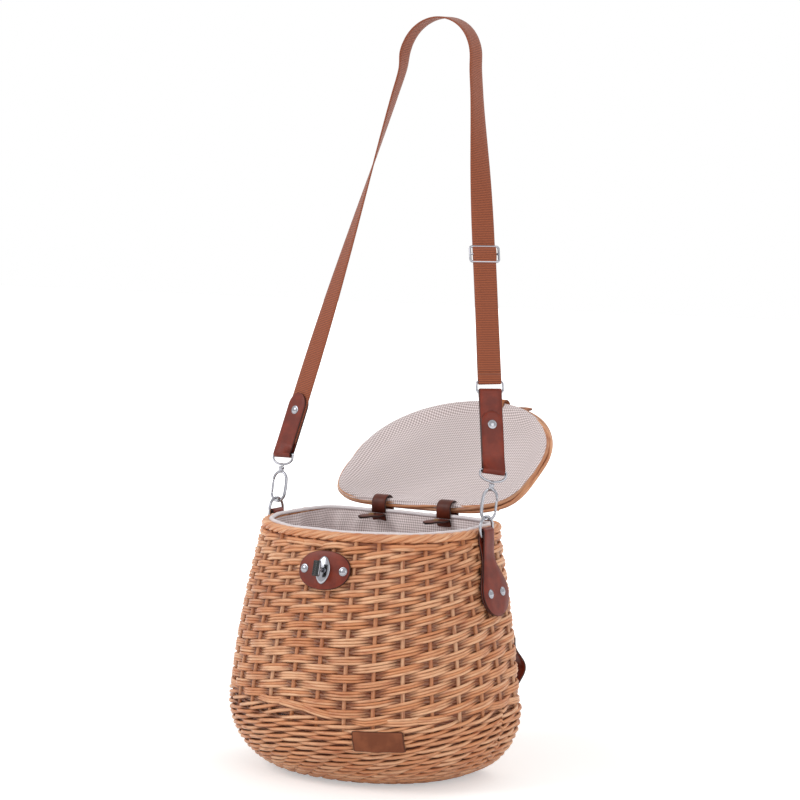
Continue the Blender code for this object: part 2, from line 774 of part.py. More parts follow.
def make_lock():
    patch = wall_patch("lock_patch", HASP_X, LOCK_HEIGHT, LOCK_PATCH_SIZE, LEATHER, 2.2, GAP)
    add_object("lock_patch", patch, BROWN_LEATHER)
    turn, level = lock_turn_and_level()
    normal = surface_normal(turn, level)
    seat = 2 * GAP + LEATHER + GAP / 2
    centre = wall_point(turn, level, -seat)
    turned = facing(normal)
    plate = flat_plate("lock_plate", [ellipse(LOCK_PLATE_SIZE[0] / 2, LOCK_PLATE_SIZE[1] / 2)], METAL_PLATE)
    add_object("lock_plate", plate, NICKEL, place=centre + normal * (METAL_PLATE / 2), turn=turned)
    foot = centre + normal * (METAL_PLATE + GAP)
    knob = add_object("turn_knob", cylinder_mesh("turn_knob", KNOB_NECK_RADIUS, KNOB_NECK_LENGTH + 0.001),
                      BLACK, place=foot, turn=turned)
    head = add_object("knob_head", box_mesh("knob_head", KNOB_HEAD), BLACK,
                      place=foot + normal * (KNOB_NECK_LENGTH + KNOB_HEAD[2] / 2), turn=turned)
    use_as_tool(knob, head, "UNION")
    for x, word in ((-LOCK_RIVET_SPACING / 2, "left"), (LOCK_RIVET_SPACING / 2, "right")):
        turn = turn_at_x(HASP_X + x, level)
        add_rivet("lock_rivet_" + word, wall_point(turn, level, -seat), surface_normal(turn, level))


def make_label():
    label = wall_patch("label_plate", LABEL_X, LABEL_HEIGHT, LABEL_SIZE, LABEL_THICKNESS, 12.0, BAND_PROUD + GAP)
    add_object("label_plate", label, BROWN_LEATHER)


# Side tabs: leather folded down over the ring's wire, riveted to the wall

TAB_PROFILE = ((0.086, 0.0050), (0.084, 0.0105), (0.079, 0.0175), (0.072, 0.0220), (0.064, 0.0230),
               (0.056, 0.0215), (0.047, 0.0165), (0.037, 0.0122), (0.026, 0.0102), (0.014, 0.0094))
TAB_LIFT_OFF = 0.052
TAB_RIVET_ROW = 4
TAB_FOLD_HALF_WIDTH = 0.0092


def make_side_tab(hand, word):
    fold = WIRE_RADIUS + GAP + LEATHER / 2
    fold_height = RING_HEIGHT - fold - GAP
    inner = []
    outer = []
    for drop, half in TAB_PROFILE:
        height = RING_HEIGHT - drop
        wall_x = outline_of(level_of(height))[0]
        near = max(wall_x + GAP + LEATHER / 2, RING_X - fold)
        rise = smooth_step(TAB_LIFT_OFF - drop, 0.0, TAB_LIFT_OFF - TAB_PROFILE[-1][0])
        inner.append((near, height))
        outer.append((mix(near + LEATHER + GAP, RING_X + fold, rise), height))
    bend = arc(RING_X, fold_height, fold, 180, 0, 8)
    halves = [half for drop, half in TAB_PROFILE]
    route = [(hand * x, SIDE_TAB_Y, z) for x, z in inner + bend + outer[::-1]]
    widths = halves + [TAB_FOLD_HALF_WIDTH] * len(bend) + halves[::-1]
    name = "side_tab_" + word
    add_object(name, strip(name, route, [(0, 1, 0)] * len(route), widths, LEATHER), BROWN_LEATHER)
    low = outer[TAB_RIVET_ROW - 1]
    high = outer[TAB_RIVET_ROW + 1]
    run = Vector((high[0] - low[0], 0, high[1] - low[1])).normalized()
    out = Vector((hand * run.z, 0, -run.x))
    x, z = outer[TAB_RIVET_ROW]
    place = Vector((hand * x, SIDE_TAB_Y, z)) + out * (LEATHER / 2 + GAP)
    for y, end in ((-TAB_RIVET_SPACING / 2, "front"), (TAB_RIVET_SPACING / 2, "back")):
        add_rivet("tab_rivet_%s_%s" % (word, end), place + Vector((0, y, 0)), out)


# Carrying straps on the corners of the back wall

def make_back_strap(hand, word):
    route = []
    sides = []
    halves = []
    steps = 16
    for k in range(steps + 1):
        share = k / steps
        level = level_of(mix(BACK_STRAP_LOW, BACK_STRAP_HIGH, share))
        turn = turn_at_x(hand * BACK_STRAP_X, level, behind=True)
        free = min(max((share - 0.16) / 0.68, 0.0), 1.0)
        stand = GAP + LEATHER / 2 + BACK_STRAP_BULGE * math.sin(math.pi * free) ** 2
        stand += (BAND_PROUD - GAP) * smooth_step(0.16 - share, 0.0, 0.1)
        route.append(wall_point(turn, level, -stand))
        normal = surface_normal(turn, level)
        sides.append(Vector((-normal.y, normal.x, 0)))
        halves.append(BACK_STRAP_WIDTH / 2 * (0.6 if k in (0, steps) else 1.0))
    seat = LEATHER / 2 + 1.5 * GAP
    name = "back_strap_" + word
    add_object(name, strip(name, route, sides, halves, LEATHER), BROWN_LEATHER)
    for k, end in ((1, "low"), (steps - 1, "high")):
        along = (route[k + 1] - route[k - 1]).normalized()
        out = along.cross(sides[k]).normalized()
        if out.y < 0:
            out = -out
        add_rivet("back_stud_%s_%s" % (word, end), route[k] + out * seat, out)


# The strap's own frame has its origin between the rings' centres

LEAN = Vector((0, math.sin(STRAP_LEAN), math.cos(STRAP_LEAN)))
ACROSS = Vector((1, 0, 0))
HOOK_FOOT = RING_RADIUS - 2 * WIRE_RADIUS - GAP
HOOK_TOP = HOOK_FOOT + HOOK_LOOP_LENGTH
SWIVEL_TOP = HOOK_TOP + WIRE_RADIUS + SWIVEL_LENGTH
EYE_FOOT = SWIVEL_TOP + GAP
EYE_STEM = 0.0025
EYE_BAR = EYE_FOOT + EYE_STEM - EYE_WIRE_RADIUS + EYE_DROP


def ring_centre(hand):
    return Vector((hand * RING_X, 0, 0))


def side_vector(turn, run):
    """A level direction at a turn from +X, squared up to the run."""
    side = Vector((math.cos(turn), math.sin(turn), 0))
    return (side - run * side.dot(run)).normalized()


def make_ring(hand, word, pivot):
    points = []
    for k in range(24):
        turn = math.tau * k / 24
        points.append((0, math.cos(turn) * RING_RADIUS, math.sin(turn) * RING_RADIUS))
    ring = tube("ring_" + word, points, WIRE_RADIUS, True)
    add_object("ring_" + word, ring, NICKEL, pivot, ring_centre(hand))


def make_hook(hand, word, pivot):
    """A long snap hook: a bent wire, a round swivel barrel on top and a straight gate."""
    radius = HOOK_WIDTH / 2
    low = HOOK_FOOT + radius
    high = HOOK_TOP - radius
    gate_low = (low + high - GATE_LENGTH) / 2
    gate_high = gate_low + GATE_LENGTH
    path = [(radius, gate_high + GAP)] + arc(0, high, radius, 0, 180, 8)
    path += [(-radius, mix(high, low, 0.5))] + arc(0, low, radius, 180, 360, 8)
    path += [(radius, gate_low - GAP)]
    points = [ACROSS * (hand * across) + LEAN * along for across, along in path]
    name = "hook_" + word
    hook = add_object(name + "_wire", tube(name, points, WIRE_RADIUS), NICKEL, pivot, ring_centre(hand))
    hook = to_mesh(hook, name)
    barrel_foot = HOOK_TOP + WIRE_RADIUS * 0.2
    barrel = add_object("barrel_" + word, cylinder_mesh("barrel", SWIVEL_RADIUS, SWIVEL_TOP - barrel_foot),
                        NICKEL, pivot, ring_centre(hand) + LEAN * barrel_foot, facing(LEAN, (0, 1, 0)))
    use_as_tool(hook, barrel, "UNION")
    gate = tube("gate_" + word, [(0, 0, 0), LEAN * GATE_LENGTH], GATE_RADIUS)
    add_object("gate_" + word, gate, NICKEL, hook, ACROSS * (hand * radius) + LEAN * gate_low)


def make_eye(hand, word, pivot):
    """The swivel eye: a half round loop on a stem, closed by a straight bar on top."""
    side = eye_bar(hand)
    half = STRAP_END_WIDTH / 2 + GAP + EYE_WIRE_RADIUS
    straight = EYE_WIRE_RADIUS + LEATHER + 2 * GAP
    points = [side * half + LEAN * EYE_BAR, LEAN * EYE_BAR - side * half]
    for k in range(9):
        angle = math.pi * (1 + k / 8)
        drop = straight - math.sin(angle) * (EYE_DROP - straight)
        points.append(side * (math.cos(angle) * half) + LEAN * (EYE_BAR - drop))
    name = "swivel_eye_" + word
    eye = add_object(name + "_wire", tube(name, points, EYE_WIRE_RADIUS, True), NICKEL, pivot, ring_centre(hand))
    eye = to_mesh(eye, name)
    stem = add_object("stem_" + word, cylinder_mesh("stem", SWIVEL_RADIUS * 0.9, EYE_STEM), NICKEL, pivot,
                      ring_centre(hand) + LEAN * EYE_FOOT, facing(LEAN, (0, 1, 0)))
    use_as_tool(eye, stem, "UNION")


# Strap: two straight legs that lean back from the swivel eyes and meet in an arch

def in_strap_frame(x, y, z):
    return Vector((x, y - SIDE_TAB_Y, z - RING_HEIGHT))


def leg_start(hand):
    return ring_centre(hand) + LEAN * EYE_BAR


def leg_end(hand):
    return in_strap_frame(hand * ARCH_HALF_WIDTH, ARCH_FOOT_Y, ARCH_FOOT_HEIGHT)


def leg_frame(hand):
    """The leg's run, its width direction at the foot and the direction of its outer face."""
    run = (leg_end(hand) - leg_start(hand)).normalized()
    side = side_vector(RIGHT_TURN if hand > 0 else LEFT_TURN, run)
    out = run.cross(side)
    return run, side, out if out.y < 0 else -out


def eye_bar(hand):
    """The direction of the swivel eye's bar."""
    return side_vector(RIGHT_TURN if hand > 0 else LEFT_TURN, LEAN)


def side_at(hand, along):
    """The strap end's width direction: the eye's bar at the foot, square to the leg above."""
    squared = leg_frame(hand)[1]
    return mix(eye_bar(hand), squared, smooth_step(along, 0.0, 0.03)).normalized()


def fold_round(bar, run, out, radius, start, end):
    """Points of a fold round a bar, from one angle off the run to another."""
    return [bar + run * y + out * z for y, z in arc(0, 0, radius, start, end, 8)]


def fold_round_eye(hand, radius, start, end):
    """Points of a fold round the swivel eye's bar, square to it."""
    along = eye_bar(hand)
    run, side, out = leg_frame(hand)
    run = (run - along * run.dot(along)).normalized()
    out = (out - along * out.dot(along)).normalized()
    return fold_round(leg_start(hand), run, out, radius, start, end)


def make_strap_end_left(pivot):
    """Leather folded up from the eye's bar, with a rounded end and the webbing inside it."""
    run, side, out = leg_frame(-1)
    bar = leg_start(-1)
    fold = EYE_WIRE_RADIUS + GAP + LEATHER / 2
    lay = WEBBING_THICKNESS / 2 + GAP + LEATHER / 2
    half = STRAP_END_WIDTH / 2
    leaf = [(1.0, 0.4), (0.98, 0.7), (0.94, 0.9), (0.86, 1.0), (0.55, 1.0), (0.35, 1.0), (0.2, 1.0)]
    bend = fold_round_eye(-1, fold, 60, 300)
    route = [bar + run * (LEFT_END_LENGTH * share) + out * lay for share, width in leaf] + bend
    route += [bar + run * (LEFT_END_LENGTH * share) - out * lay for share, width in leaf[::-1]]
    halves = [half * width for share, width in leaf] + [half] * len(bend)
    halves += [half * width for share, width in leaf[::-1]]
    sides = [side_at(-1, LEFT_END_LENGTH * share) for share, width in leaf]
    sides = sides + [eye_bar(-1)] * len(bend) + sides[::-1]
    mesh = strip("strap_end_left", route, sides, halves, LEATHER, squared=False)
    add_object("strap_end_left", mesh, BROWN_LEATHER, pivot)
    add_rivet("strap_rivet_left", bar + run * (LEFT_END_LENGTH * 0.72) + out * (lay + LEATHER / 2 + GAP),
              out, pivot)


def make_strap_end_right(pivot):
    """A closed leather loop from the eye's bar to the lower bar of the rectangular ring."""
    run, side, out = leg_frame(1)
    bar = leg_start(1)
    fold = EYE_WIRE_RADIUS + GAP + LEATHER / 2
    lay = GAP / 2 + LEATHER / 2
    length = RIGHT_END_LENGTH
    spots = [0.16, 0.26, 0.4, 0.65, 0.86]
    route = [bar + run * (length * share) - out * lay for share in spots]
    route += fold_round(bar + run * length, run, out, fold, -120, 120)
    route += [bar + run * (length * share) + out * lay for share in spots[::-1]]
    route += fold_round_eye(1, fold, 60, 300)
    sides = [side_at(1, length * share) for share in spots]
    sides = sides + [side] * 9 + sides[::-1] + [eye_bar(1)] * 9
    halves = [STRAP_END_WIDTH / 2] * len(route)
    mesh = strip("strap_end_right", route, sides, halves, LEATHER, closed_loop=True, squared=False)
    add_object("strap_end_right", mesh, BROWN_LEATHER, pivot)
    add_rivet("strap_rivet_right", bar + run * (length * 0.58) + out * (lay + LEATHER / 2 + GAP), out, pivot)


RING_TOP_BAR = RIGHT_END_LENGTH + RECT_RING_SIZE[1] - 2 * RECT_RING_WIRE


def webbing_route():
    """The strap's centre line from the left leather end over the arch to the rectangular ring."""
    route = []
    turns = []
    left = leg_start(-1)
    left_length = (leg_end(-1) - left).length
    left_run = leg_frame(-1)[0]
    for k in range(15):
        along = mix(0.014, left_length, k / 14)
        route.append(left + left_run * along)
        twist = smooth_step(along, LEFT_END_LENGTH, left_length * 1.12)
        turns.append(mix(LEFT_TURN, math.radians(100), twist))
    for k in range(1, 12):
        angle = math.pi * k / 12
        rise = math.sin(angle) ** 0.8
        route.append(in_strap_frame(-ARCH_HALF_WIDTH * math.cos(angle), mix(ARCH_FOOT_Y, ARCH_TOP_Y, rise),
                                    mix(ARCH_FOOT_HEIGHT, ARCH_TOP_HEIGHT, rise)))
        turns.append(math.radians(mix(97, 90, k / 12)))
    right = leg_start(1)
    right_run, side, out = leg_frame(1)
    right_length = (leg_end(1) - right).length
    fold = RECT_RING_WIRE + GAP + WEBBING_THICKNESS / 2
    for k in range(13):
        along = mix(right_length, RING_TOP_BAR, k / 12)
        route.append(right + right_run * along - out * (fold * smooth_step(k, 9, 12)))
        turns.append(mix(RIGHT_TURN, math.radians(91),
                         smooth_step(along, SLIDER_DISTANCE + 0.01, right_length * 0.97)))
    bar = right + right_run * RING_TOP_BAR
    route += fold_round(bar, right_run, out, fold, 225, 90)[1:]
    turns += [RIGHT_TURN] * 8
    route.append(bar + right_run * WEBBING_HEM + out * fold)
    turns.append(RIGHT_TURN)
    return route, turns


def make_webbing(pivot):
    route, turns = webbing_route()
    sides = [Vector((math.cos(turn), math.sin(turn), 0)) for turn in turns]
    mesh = strip("webbing", route, sides, [WEBBING_WIDTH / 2] * len(route), WEBBING_THICKNESS)
    add_object("webbing", mesh, WEBBING, pivot)


def rect_link(side, run, size, radius):
    """A rectangular wire link with rounded corners, as points about its centre."""
    corner = 0.0022
    half_width = size[0] / 2 - corner - radius
    half_height = size[1] / 2 - corner - radius
    points = []
    for first, second, start in ((1, 1, 0), (-1, 1, 90), (-1, -1, 180), (1, -1, 270)):
        for k in range(4):
            angle = math.radians(start + 30 * k)
            points.append(side * (first * half_width + math.cos(angle) * corner)
                          + run * (second * half_height + math.sin(angle) * corner))
    return points


def make_adjuster(pivot):
    """Rectangular ring, slider and the outer layer of webbing between them."""
    run, side, out = leg_frame(1)
    start = leg_start(1)
    link = tube("rect_ring", rect_link(side, run, RECT_RING_SIZE, RECT_RING_WIRE), RECT_RING_WIRE, True)
    add_object("rect_ring", link, NICKEL, pivot, start + run * ((RIGHT_END_LENGTH + RING_TOP_BAR) / 2))
    drop = WEBBING_THICKNESS / 2 + GAP + SLIDER_WIRE
    place = start + run * SLIDER_DISTANCE + out * drop
    frame = add_object("slider_frame", tube("slider", rect_link(side, run, SLIDER_SIZE, SLIDER_WIRE),
                                            SLIDER_WIRE, True), NICKEL, pivot, place)
    frame = to_mesh(frame, "slider")
    half = SLIDER_SIZE[0] / 2 - SLIDER_WIRE
    bar = add_object("slider_bar", cylinder_mesh("slider_bar", SLIDER_WIRE * 0.9, 2 * half), NICKEL, pivot,
                     place - side * half, facing(side, run))
    use_as_tool(frame, bar, "UNION")
    fold = RECT_RING_WIRE + GAP + WEBBING_THICKNESS / 2
    low = start + run * (RING_TOP_BAR + WEBBING_HEM + GAP) + out * fold
    high = start + run * (SLIDER_DISTANCE - SLIDER_SIZE[1] / 2 - GAP) + out * fold
    route = [mix(low, high, k / 6) for k in range(7)]
    tail = strip("webbing_tail", route, [side] * 7, [WEBBING_WIDTH / 2] * 7, WEBBING_THICKNESS)
    add_object("webbing_tail", tail, WEBBING, pivot)


# Assembly

make_base()
make_band()
make_wall()
make_rim()
make_lining()
for hinge_x, side_word in hinge_places():
    make_hinge(hinge_x, side_word)

lid_pivot = add_empty("lid_hinge", (0, HINGE_Y, HINGE_HEIGHT), angle=-LID_OPEN_ANGLE)
make_lid(lid_pivot)
hasp_pivot = add_empty("hasp_hinge", (HASP_X, HASP_PIVOT_Y, 0), lid_pivot, -HASP_REST_ANGLE)
make_hasp(hasp_pivot)

make_lock()
make_label()
strap_pivot = add_empty("strap_swing", (0, SIDE_TAB_Y, RING_HEIGHT))
for side_hand, side_word in ((1, "right"), (-1, "left")):
    make_side_tab(side_hand, side_word)
    make_back_strap(side_hand, side_word)
    make_ring(side_hand, side_word, strap_pivot)
    make_hook(side_hand, side_word, strap_pivot)
    make_eye(side_hand, side_word, strap_pivot)
make_strap_end_left(strap_pivot)
make_strap_end_right(strap_pivot)
make_webbing(strap_pivot)
make_adjuster(strap_pivot)
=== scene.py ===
# A wicker basket bag dressed for rendering: woven willow, checked cotton, leather,
# webbing and nickel. Metres, +Z up, the front with the lock faces -Y.

import bisect
import math
import random

import bmesh
import bpy
from mathutils import Matrix, Vector


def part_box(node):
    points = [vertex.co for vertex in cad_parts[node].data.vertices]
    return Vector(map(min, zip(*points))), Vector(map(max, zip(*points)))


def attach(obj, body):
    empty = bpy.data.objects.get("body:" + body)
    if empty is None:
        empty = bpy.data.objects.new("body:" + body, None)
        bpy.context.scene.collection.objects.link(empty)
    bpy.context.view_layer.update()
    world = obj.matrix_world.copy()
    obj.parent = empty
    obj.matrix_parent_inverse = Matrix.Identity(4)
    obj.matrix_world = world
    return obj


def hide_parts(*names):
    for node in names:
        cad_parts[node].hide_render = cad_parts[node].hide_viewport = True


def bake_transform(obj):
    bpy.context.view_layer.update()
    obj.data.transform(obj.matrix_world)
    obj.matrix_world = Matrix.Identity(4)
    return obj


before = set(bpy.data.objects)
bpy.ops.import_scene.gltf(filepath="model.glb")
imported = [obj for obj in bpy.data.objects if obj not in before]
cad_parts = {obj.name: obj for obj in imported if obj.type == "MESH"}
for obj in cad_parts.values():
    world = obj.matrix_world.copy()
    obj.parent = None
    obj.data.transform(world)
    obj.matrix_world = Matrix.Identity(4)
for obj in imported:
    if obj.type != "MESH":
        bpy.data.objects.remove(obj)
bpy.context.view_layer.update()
dice = random.Random(11)


# Camera: the photograph's viewpoint, worked out from the basket's own ellipses

camera = {
    "azimuth": 34.0,
    "elevation": 12.8,
    "distance": 3.0,
    "focalPixels": 2910.0,
    "baseOnPicture": (376.5, 765.0),
    "pictureSize": 800.0,
    "sensorWidth": 36.0,
}


def placeCamera():
    a = math.radians(camera["azimuth"])
    e = math.radians(camera["elevation"])
    toBase = Vector((-math.sin(a) * math.cos(e), math.cos(a) * math.cos(e), -math.sin(e)))
    eye = -toBase * camera["distance"]
    right = Vector((math.cos(a), math.sin(a), 0))
    up = right.cross(toBase)
    half = camera["pictureSize"] / 2
    yaw = math.atan2(camera["baseOnPicture"][0] - half, camera["focalPixels"])
    pitch = math.atan2(camera["baseOnPicture"][1] - half, camera["focalPixels"])
    ahead = toBase * math.cos(pitch) + up * math.sin(pitch)
    top = up * math.cos(pitch) - toBase * math.sin(pitch)
    look = ahead * math.cos(yaw) - right * math.sin(yaw)
    side = right * math.cos(yaw) + ahead * math.sin(yaw)
    data = bpy.data.cameras.new("camera")
    data.sensor_width = camera["sensorWidth"]
    data.lens = camera["focalPixels"] / camera["pictureSize"] * camera["sensorWidth"]
    thing = bpy.data.objects.new("camera", data)
    thing.matrix_world = Matrix.Translation(eye) @ Matrix((side, top, -look)).transposed().to_4x4()
    bpy.context.scene.collection.objects.link(thing)
    bpy.context.scene.camera = thing


placeCamera()
print("camera placed")


# Materials

def linear(hexCode):
    channels = [int(hexCode[k:k + 2], 16) / 255 for k in (1, 3, 5)]
    return tuple(c / 12.92 if c <= 0.04045 else ((c + 0.055) / 1.055) ** 2.4 for c in channels) + (1.0,)


def feed(tree, node, inputs):
    for name, value in inputs.items():
        if isinstance(value, bpy.types.NodeSocket):
            tree.links.new(value, node.inputs[name])
        else:
            node.inputs[name].default_value = value


def addNode(tree, kind, inputs=None, output=0, **settings):
    node = tree.nodes.new("ShaderNode" + kind)
    for name, value in settings.items():
        setattr(node, name, value)
    feed(tree, node, inputs or {})
    return node.outputs[output]


def startMaterial(name):
    material = bpy.data.materials.new(name)
    material.use_nodes = True
    tree = material.node_tree
    return material, tree, addNode(tree, "TexCoord", output="Object"), addNode(tree, "TexCoord", output="UV")


def finishMaterial(material, slot, inputs):
    # The finish of a piece: its material, and the slot that it belongs to
    tree = material.node_tree
    feed(tree, tree.nodes["Principled BSDF"], inputs)
    return material, slot


def layTone(tree, tone, colour, value, low, high, share=1.0):
    # Lays a colour over a tone, more of it as the value goes from low to high, up to a share
    amount = addNode(tree, "MapRange", {"Value": value, "From Min": low, "From Max": high, "To Max": share},
                     interpolation_type="SMOOTHSTEP")
    return addNode(tree, "Mix", {0: amount, 6: tone, 7: colour}, 2, data_type="RGBA")


def addRibs(tree, uv, axis, period, low, high, top=1.0):
    # Ribs at a real period: 0 in the grooves, and the top value on the crests
    along = addNode(tree, "SeparateXYZ", {0: uv}, axis)
    phase = addNode(tree, "Math", {0: along, 1: math.tau / period}, operation="MULTIPLY")
    swing = addNode(tree, "Math", {0: phase}, operation="SINE")
    return addNode(tree, "MapRange", {"Value": swing, "From Min": low, "From Max": high, "To Max": top},
                   interpolation_type="SMOOTHSTEP")


# Peeled willow under a thin varnish: honey coloured, each rod its own tone, with long
# fibre streaks 2 mm wide and finer ones in them, that break up a soft sheen. The deep colour
# is painted shade, laid where a rod lies back in the weave and below each rod
willow = {
    "pale": "#F4C096",
    "mid": "#DE9868",
    "ruddy": "#B0623C",
    "deep": "#5C2410",
    "roughness": 0.45,
    "fibreWidth": 0.002,
    "fibreLength": 0.018,
    "fibreHeight": 0.0003,
    "blotch": 0.05,
    "blotchShare": 0.45,
    "paintedShadeShare": 0.72,
    "underShade": 0.55,
}


def makeWillow():
    material, tree, solid, uv = startMaterial("peeled willow with varnish")
    stretch = (1 / willow["fibreWidth"], 1 / willow["fibreLength"], 1)
    along = addNode(tree, "Mapping", {"Vector": uv, "Scale": stretch})
    fibre = addNode(tree, "TexNoise", {"Vector": along, "Scale": 1.0, "Detail": 3.0})
    blotch = addNode(tree, "TexNoise", {"Vector": solid, "Scale": 1 / willow["blotch"], "Detail": 3.0})
    island = addNode(tree, "NewGeometry", output="Random Per Island")
    tone = layTone(tree, linear(willow["pale"]), linear(willow["mid"]), island, 0.0, 1.0)
    tone = layTone(tree, tone, linear(willow["ruddy"]), fibre, 0.42, 0.80)
    tone = layTone(tree, tone, linear(willow["ruddy"]), blotch, 0.45, 0.75, willow["blotchShare"])
    # Painted shade: a vertex attribute, set where a rod lies back in the weave and below each rod, darkens it
    # towards the deep colour
    paintedShade = addNode(tree, "Attribute", output="Fac", attribute_name="paintedShade")
    shade = addNode(tree, "Math", {0: paintedShade, 1: willow["paintedShadeShare"]}, operation="MULTIPLY")
    tone = addNode(tree, "Mix", {0: shade, 6: tone, 7: linear(willow["deep"])}, 2, data_type="RGBA")
    bump = addNode(tree, "Bump", {"Height": fibre, "Strength": 0.25, "Distance": willow["fibreHeight"]})
    return finishMaterial(material, "peeled_willow", {"Base Color": tone, "Normal": bump,
                                                      "Roughness": willow["roughness"]})


# Woven cotton in a small check: pale rose ground crossed by grey-brown threads.
cotton = {"ground": "#FFF3F2", "thread": "#A08A88", "cover": 0.85, "check": 0.0026, "yarn": 0.0004,
          "yarnHeight": 0.0002, "roughness": 0.95, "sheen": 0.15}


def makeCotton():
    material, tree, solid, uv = startMaterial("checked cotton cloth")
    warp, weft = [addRibs(tree, uv, axis, cotton["check"], -0.35, 0.35, cotton["cover"] / 2)
                  for axis in (0, 1)]
    both = addNode(tree, "Math", {0: warp, 1: weft}, operation="ADD")
    tone = addNode(tree, "Mix", {0: both, 6: linear(cotton["ground"]), 7: linear(cotton["thread"])}, 2,
                   data_type="RGBA")
    yarn = addNode(tree, "TexNoise", {"Vector": solid, "Scale": 1 / cotton["yarn"], "Detail": 1.0})
    bump = addNode(tree, "Bump", {"Height": yarn, "Strength": 0.3, "Distance": cotton["yarnHeight"]})
    return finishMaterial(material, "checked_cotton", {"Base Color": tone, "Normal": bump,
                                                       "Roughness": cotton["roughness"],
                                                       "Sheen Weight": cotton["sheen"]})


# Bias tape folded over the lining's edge: off-white cotton with ridges 1.2 mm apart
tape = {"colour": "#FBF6F7", "shade": "#DDD2D4", "ridge": 0.0012, "ridgeHeight": 0.0002, "roughness": 0.9}


def makeTape():
    material, tree, solid, uv = startMaterial("white cotton bias tape")
    ridge = addRibs(tree, uv, 1, tape["ridge"], -1.0, 1.0)
    tone = addNode(tree, "Mix", {0: ridge, 6: linear(tape["shade"]), 7: linear(tape["colour"])}, 2,
                   data_type="RGBA")
    bump = addNode(tree, "Bump", {"Height": ridge, "Strength": 0.3, "Distance": tape["ridgeHeight"]})
    return finishMaterial(material, "checked_cotton", {"Base Color": tone, "Normal": bump,
                                                       "Roughness": tape["roughness"]})


# Waxed cowhide: fine pores 0.7 mm apart, a slow drift of tone, dark burnished edges.
# Its UV holds the distance from the nearest edge and the place along the strap
hideGrain = {"driftPerMetre": 70.0, "pore": 0.0007, "poreDepth": 0.0002, "burnish": 0.0009, "wax": 0.06,
             "waxRoughness": 0.25, "gloss": 0.28}
brownHide = {"name": "waxed brown leather", "slot": "brown_leather", "face": "#82301C", "deep": "#6A2415",
             "edge": "#2E110B", "roughness": 0.42}
darkHide = {"name": "waxed dark leather", "slot": "dark_leather", "face": "#6B2E1B", "deep": "#4E2014",
            "edge": "#200F0B", "roughness": 0.5}
tanHide = {"name": "flesh side of tan leather", "slot": "brown_leather", "face": "#C07C50", "deep": "#A3633D",
           "edge": "#6A3822", "roughness": 0.7}
labelHide = {"name": "plain label leather", "slot": "brown_leather", "face": "#8E5032", "deep": "#784026",
             "edge": "#45200F", "roughness": 0.6}


def makeLeather(hide):
    material, tree, solid, uv = startMaterial(hide["name"])
    edge = addNode(tree, "SeparateXYZ", {0: uv})
    drift = addNode(tree, "TexNoise", {"Vector": solid, "Scale": hideGrain["driftPerMetre"], "Detail": 4.0})
    pores = addNode(tree, "TexVoronoi", {"Vector": solid, "Scale": 1 / hideGrain["pore"]}, "Distance")
    tone = layTone(tree, linear(hide["deep"]), linear(hide["face"]), drift, 0.35, 0.7)
    tone = layTone(tree, linear(hide["edge"]), tone, edge, 0.0, hideGrain["burnish"])
    bump = addNode(tree, "Bump", {"Height": pores, "Strength": 0.12, "Distance": hideGrain["poreDepth"]})
    return finishMaterial(material, hide["slot"], {"Base Color": tone, "Normal": bump,
                                                   "Roughness": hide["roughness"],
                                                   "Coat Weight": hideGrain["wax"],
                                                   "Coat Roughness": hideGrain["waxRoughness"],
                                                   "Specular IOR Level": hideGrain["gloss"]})


# Ribbed webbing: cross ribs 1.8 mm apart in red-brown yarn, with painted shade in the grooves and darker
# flecks of yarn
ribbed = {"crest": "#B05C36", "groove": "#763820", "rib": 0.0018, "ribHeight": 0.0004, "yarn": 0.0006,
          "yarnShare": 0.3, "roughness": 0.75, "sheen": 0.2}


def makeWebbing():
    material, tree, solid, uv = startMaterial("ribbed brown webbing")
    crest = addRibs(tree, uv, 1, ribbed["rib"], -0.9, 0.6)
    yarn = addNode(tree, "TexNoise", {"Vector": solid, "Scale": 1 / ribbed["yarn"], "Detail": 2.0})
    fleck = addNode(tree, "Math", {0: yarn, 1: ribbed["yarnShare"]}, operation="MULTIPLY")
    groove = linear(ribbed["groove"])
    # Painted shade: the grooves between the ribs are darkened to the groove colour
    tone = addNode(tree, "Mix", {0: crest, 6: groove, 7: linear(ribbed["crest"])}, 2, data_type="RGBA")
    tone = addNode(tree, "Mix", {0: fleck, 6: tone, 7: groove}, 2, data_type="RGBA")
    bump = addNode(tree, "Bump", {"Height": crest, "Strength": 0.6, "Distance": ribbed["ribHeight"]})
    return finishMaterial(material, "brown_webbing", {"Base Color": tone, "Normal": bump,
                                                      "Roughness": ribbed["roughness"],
                                                      "Sheen Weight": ribbed["sheen"]})


# Bright nickel plate over cast zinc: a near mirror with a faint cloudiness 2.5 mm wide.
# The hinge rivets are brass gone dull, which is the same surface in a rougher state
nickel = {"name": "bright nickel plate", "colour": "#9A9AA0", "roughness": 0.14}
brass = {"name": "aged brass rivets", "colour": "#8A6A4A", "roughness": 0.35}
cloudWidth = 0.0025


def makeMetal(surface):
    material, tree, solid, uv = startMaterial(surface["name"])
    cloud = addNode(tree, "TexNoise", {"Vector": solid, "Scale": 1 / cloudWidth, "Detail": 2.0})
    haze = addNode(tree, "MapRange", {"Value": cloud, "To Min": surface["roughness"] * 0.7,
                                      "To Max": surface["roughness"] * 1.5})
    return finishMaterial(material, "nickel", {"Base Color": linear(surface["colour"]), "Metallic": 1.0,
                                               "Roughness": haze})


# Black stove enamel on the turning knob: glossy, with faint orange peel
enamel = {"colour": "#121214", "roughness": 0.28, "peelPerMetre": 1500.0, "peelHeight": 0.0001}


def makeEnamel():
    material, tree, solid, uv = startMaterial("black stove enamel")
    peel = addNode(tree, "TexNoise", {"Vector": solid, "Scale": enamel["peelPerMetre"]})
    bump = addNode(tree, "Bump", {"Height": peel, "Strength": 0.1, "Distance": enamel["peelHeight"]})
    return finishMaterial(material, "black_enamel", {"Base Color": linear(enamel["colour"]), "Normal": bump,
                                                     "Roughness": enamel["roughness"]})


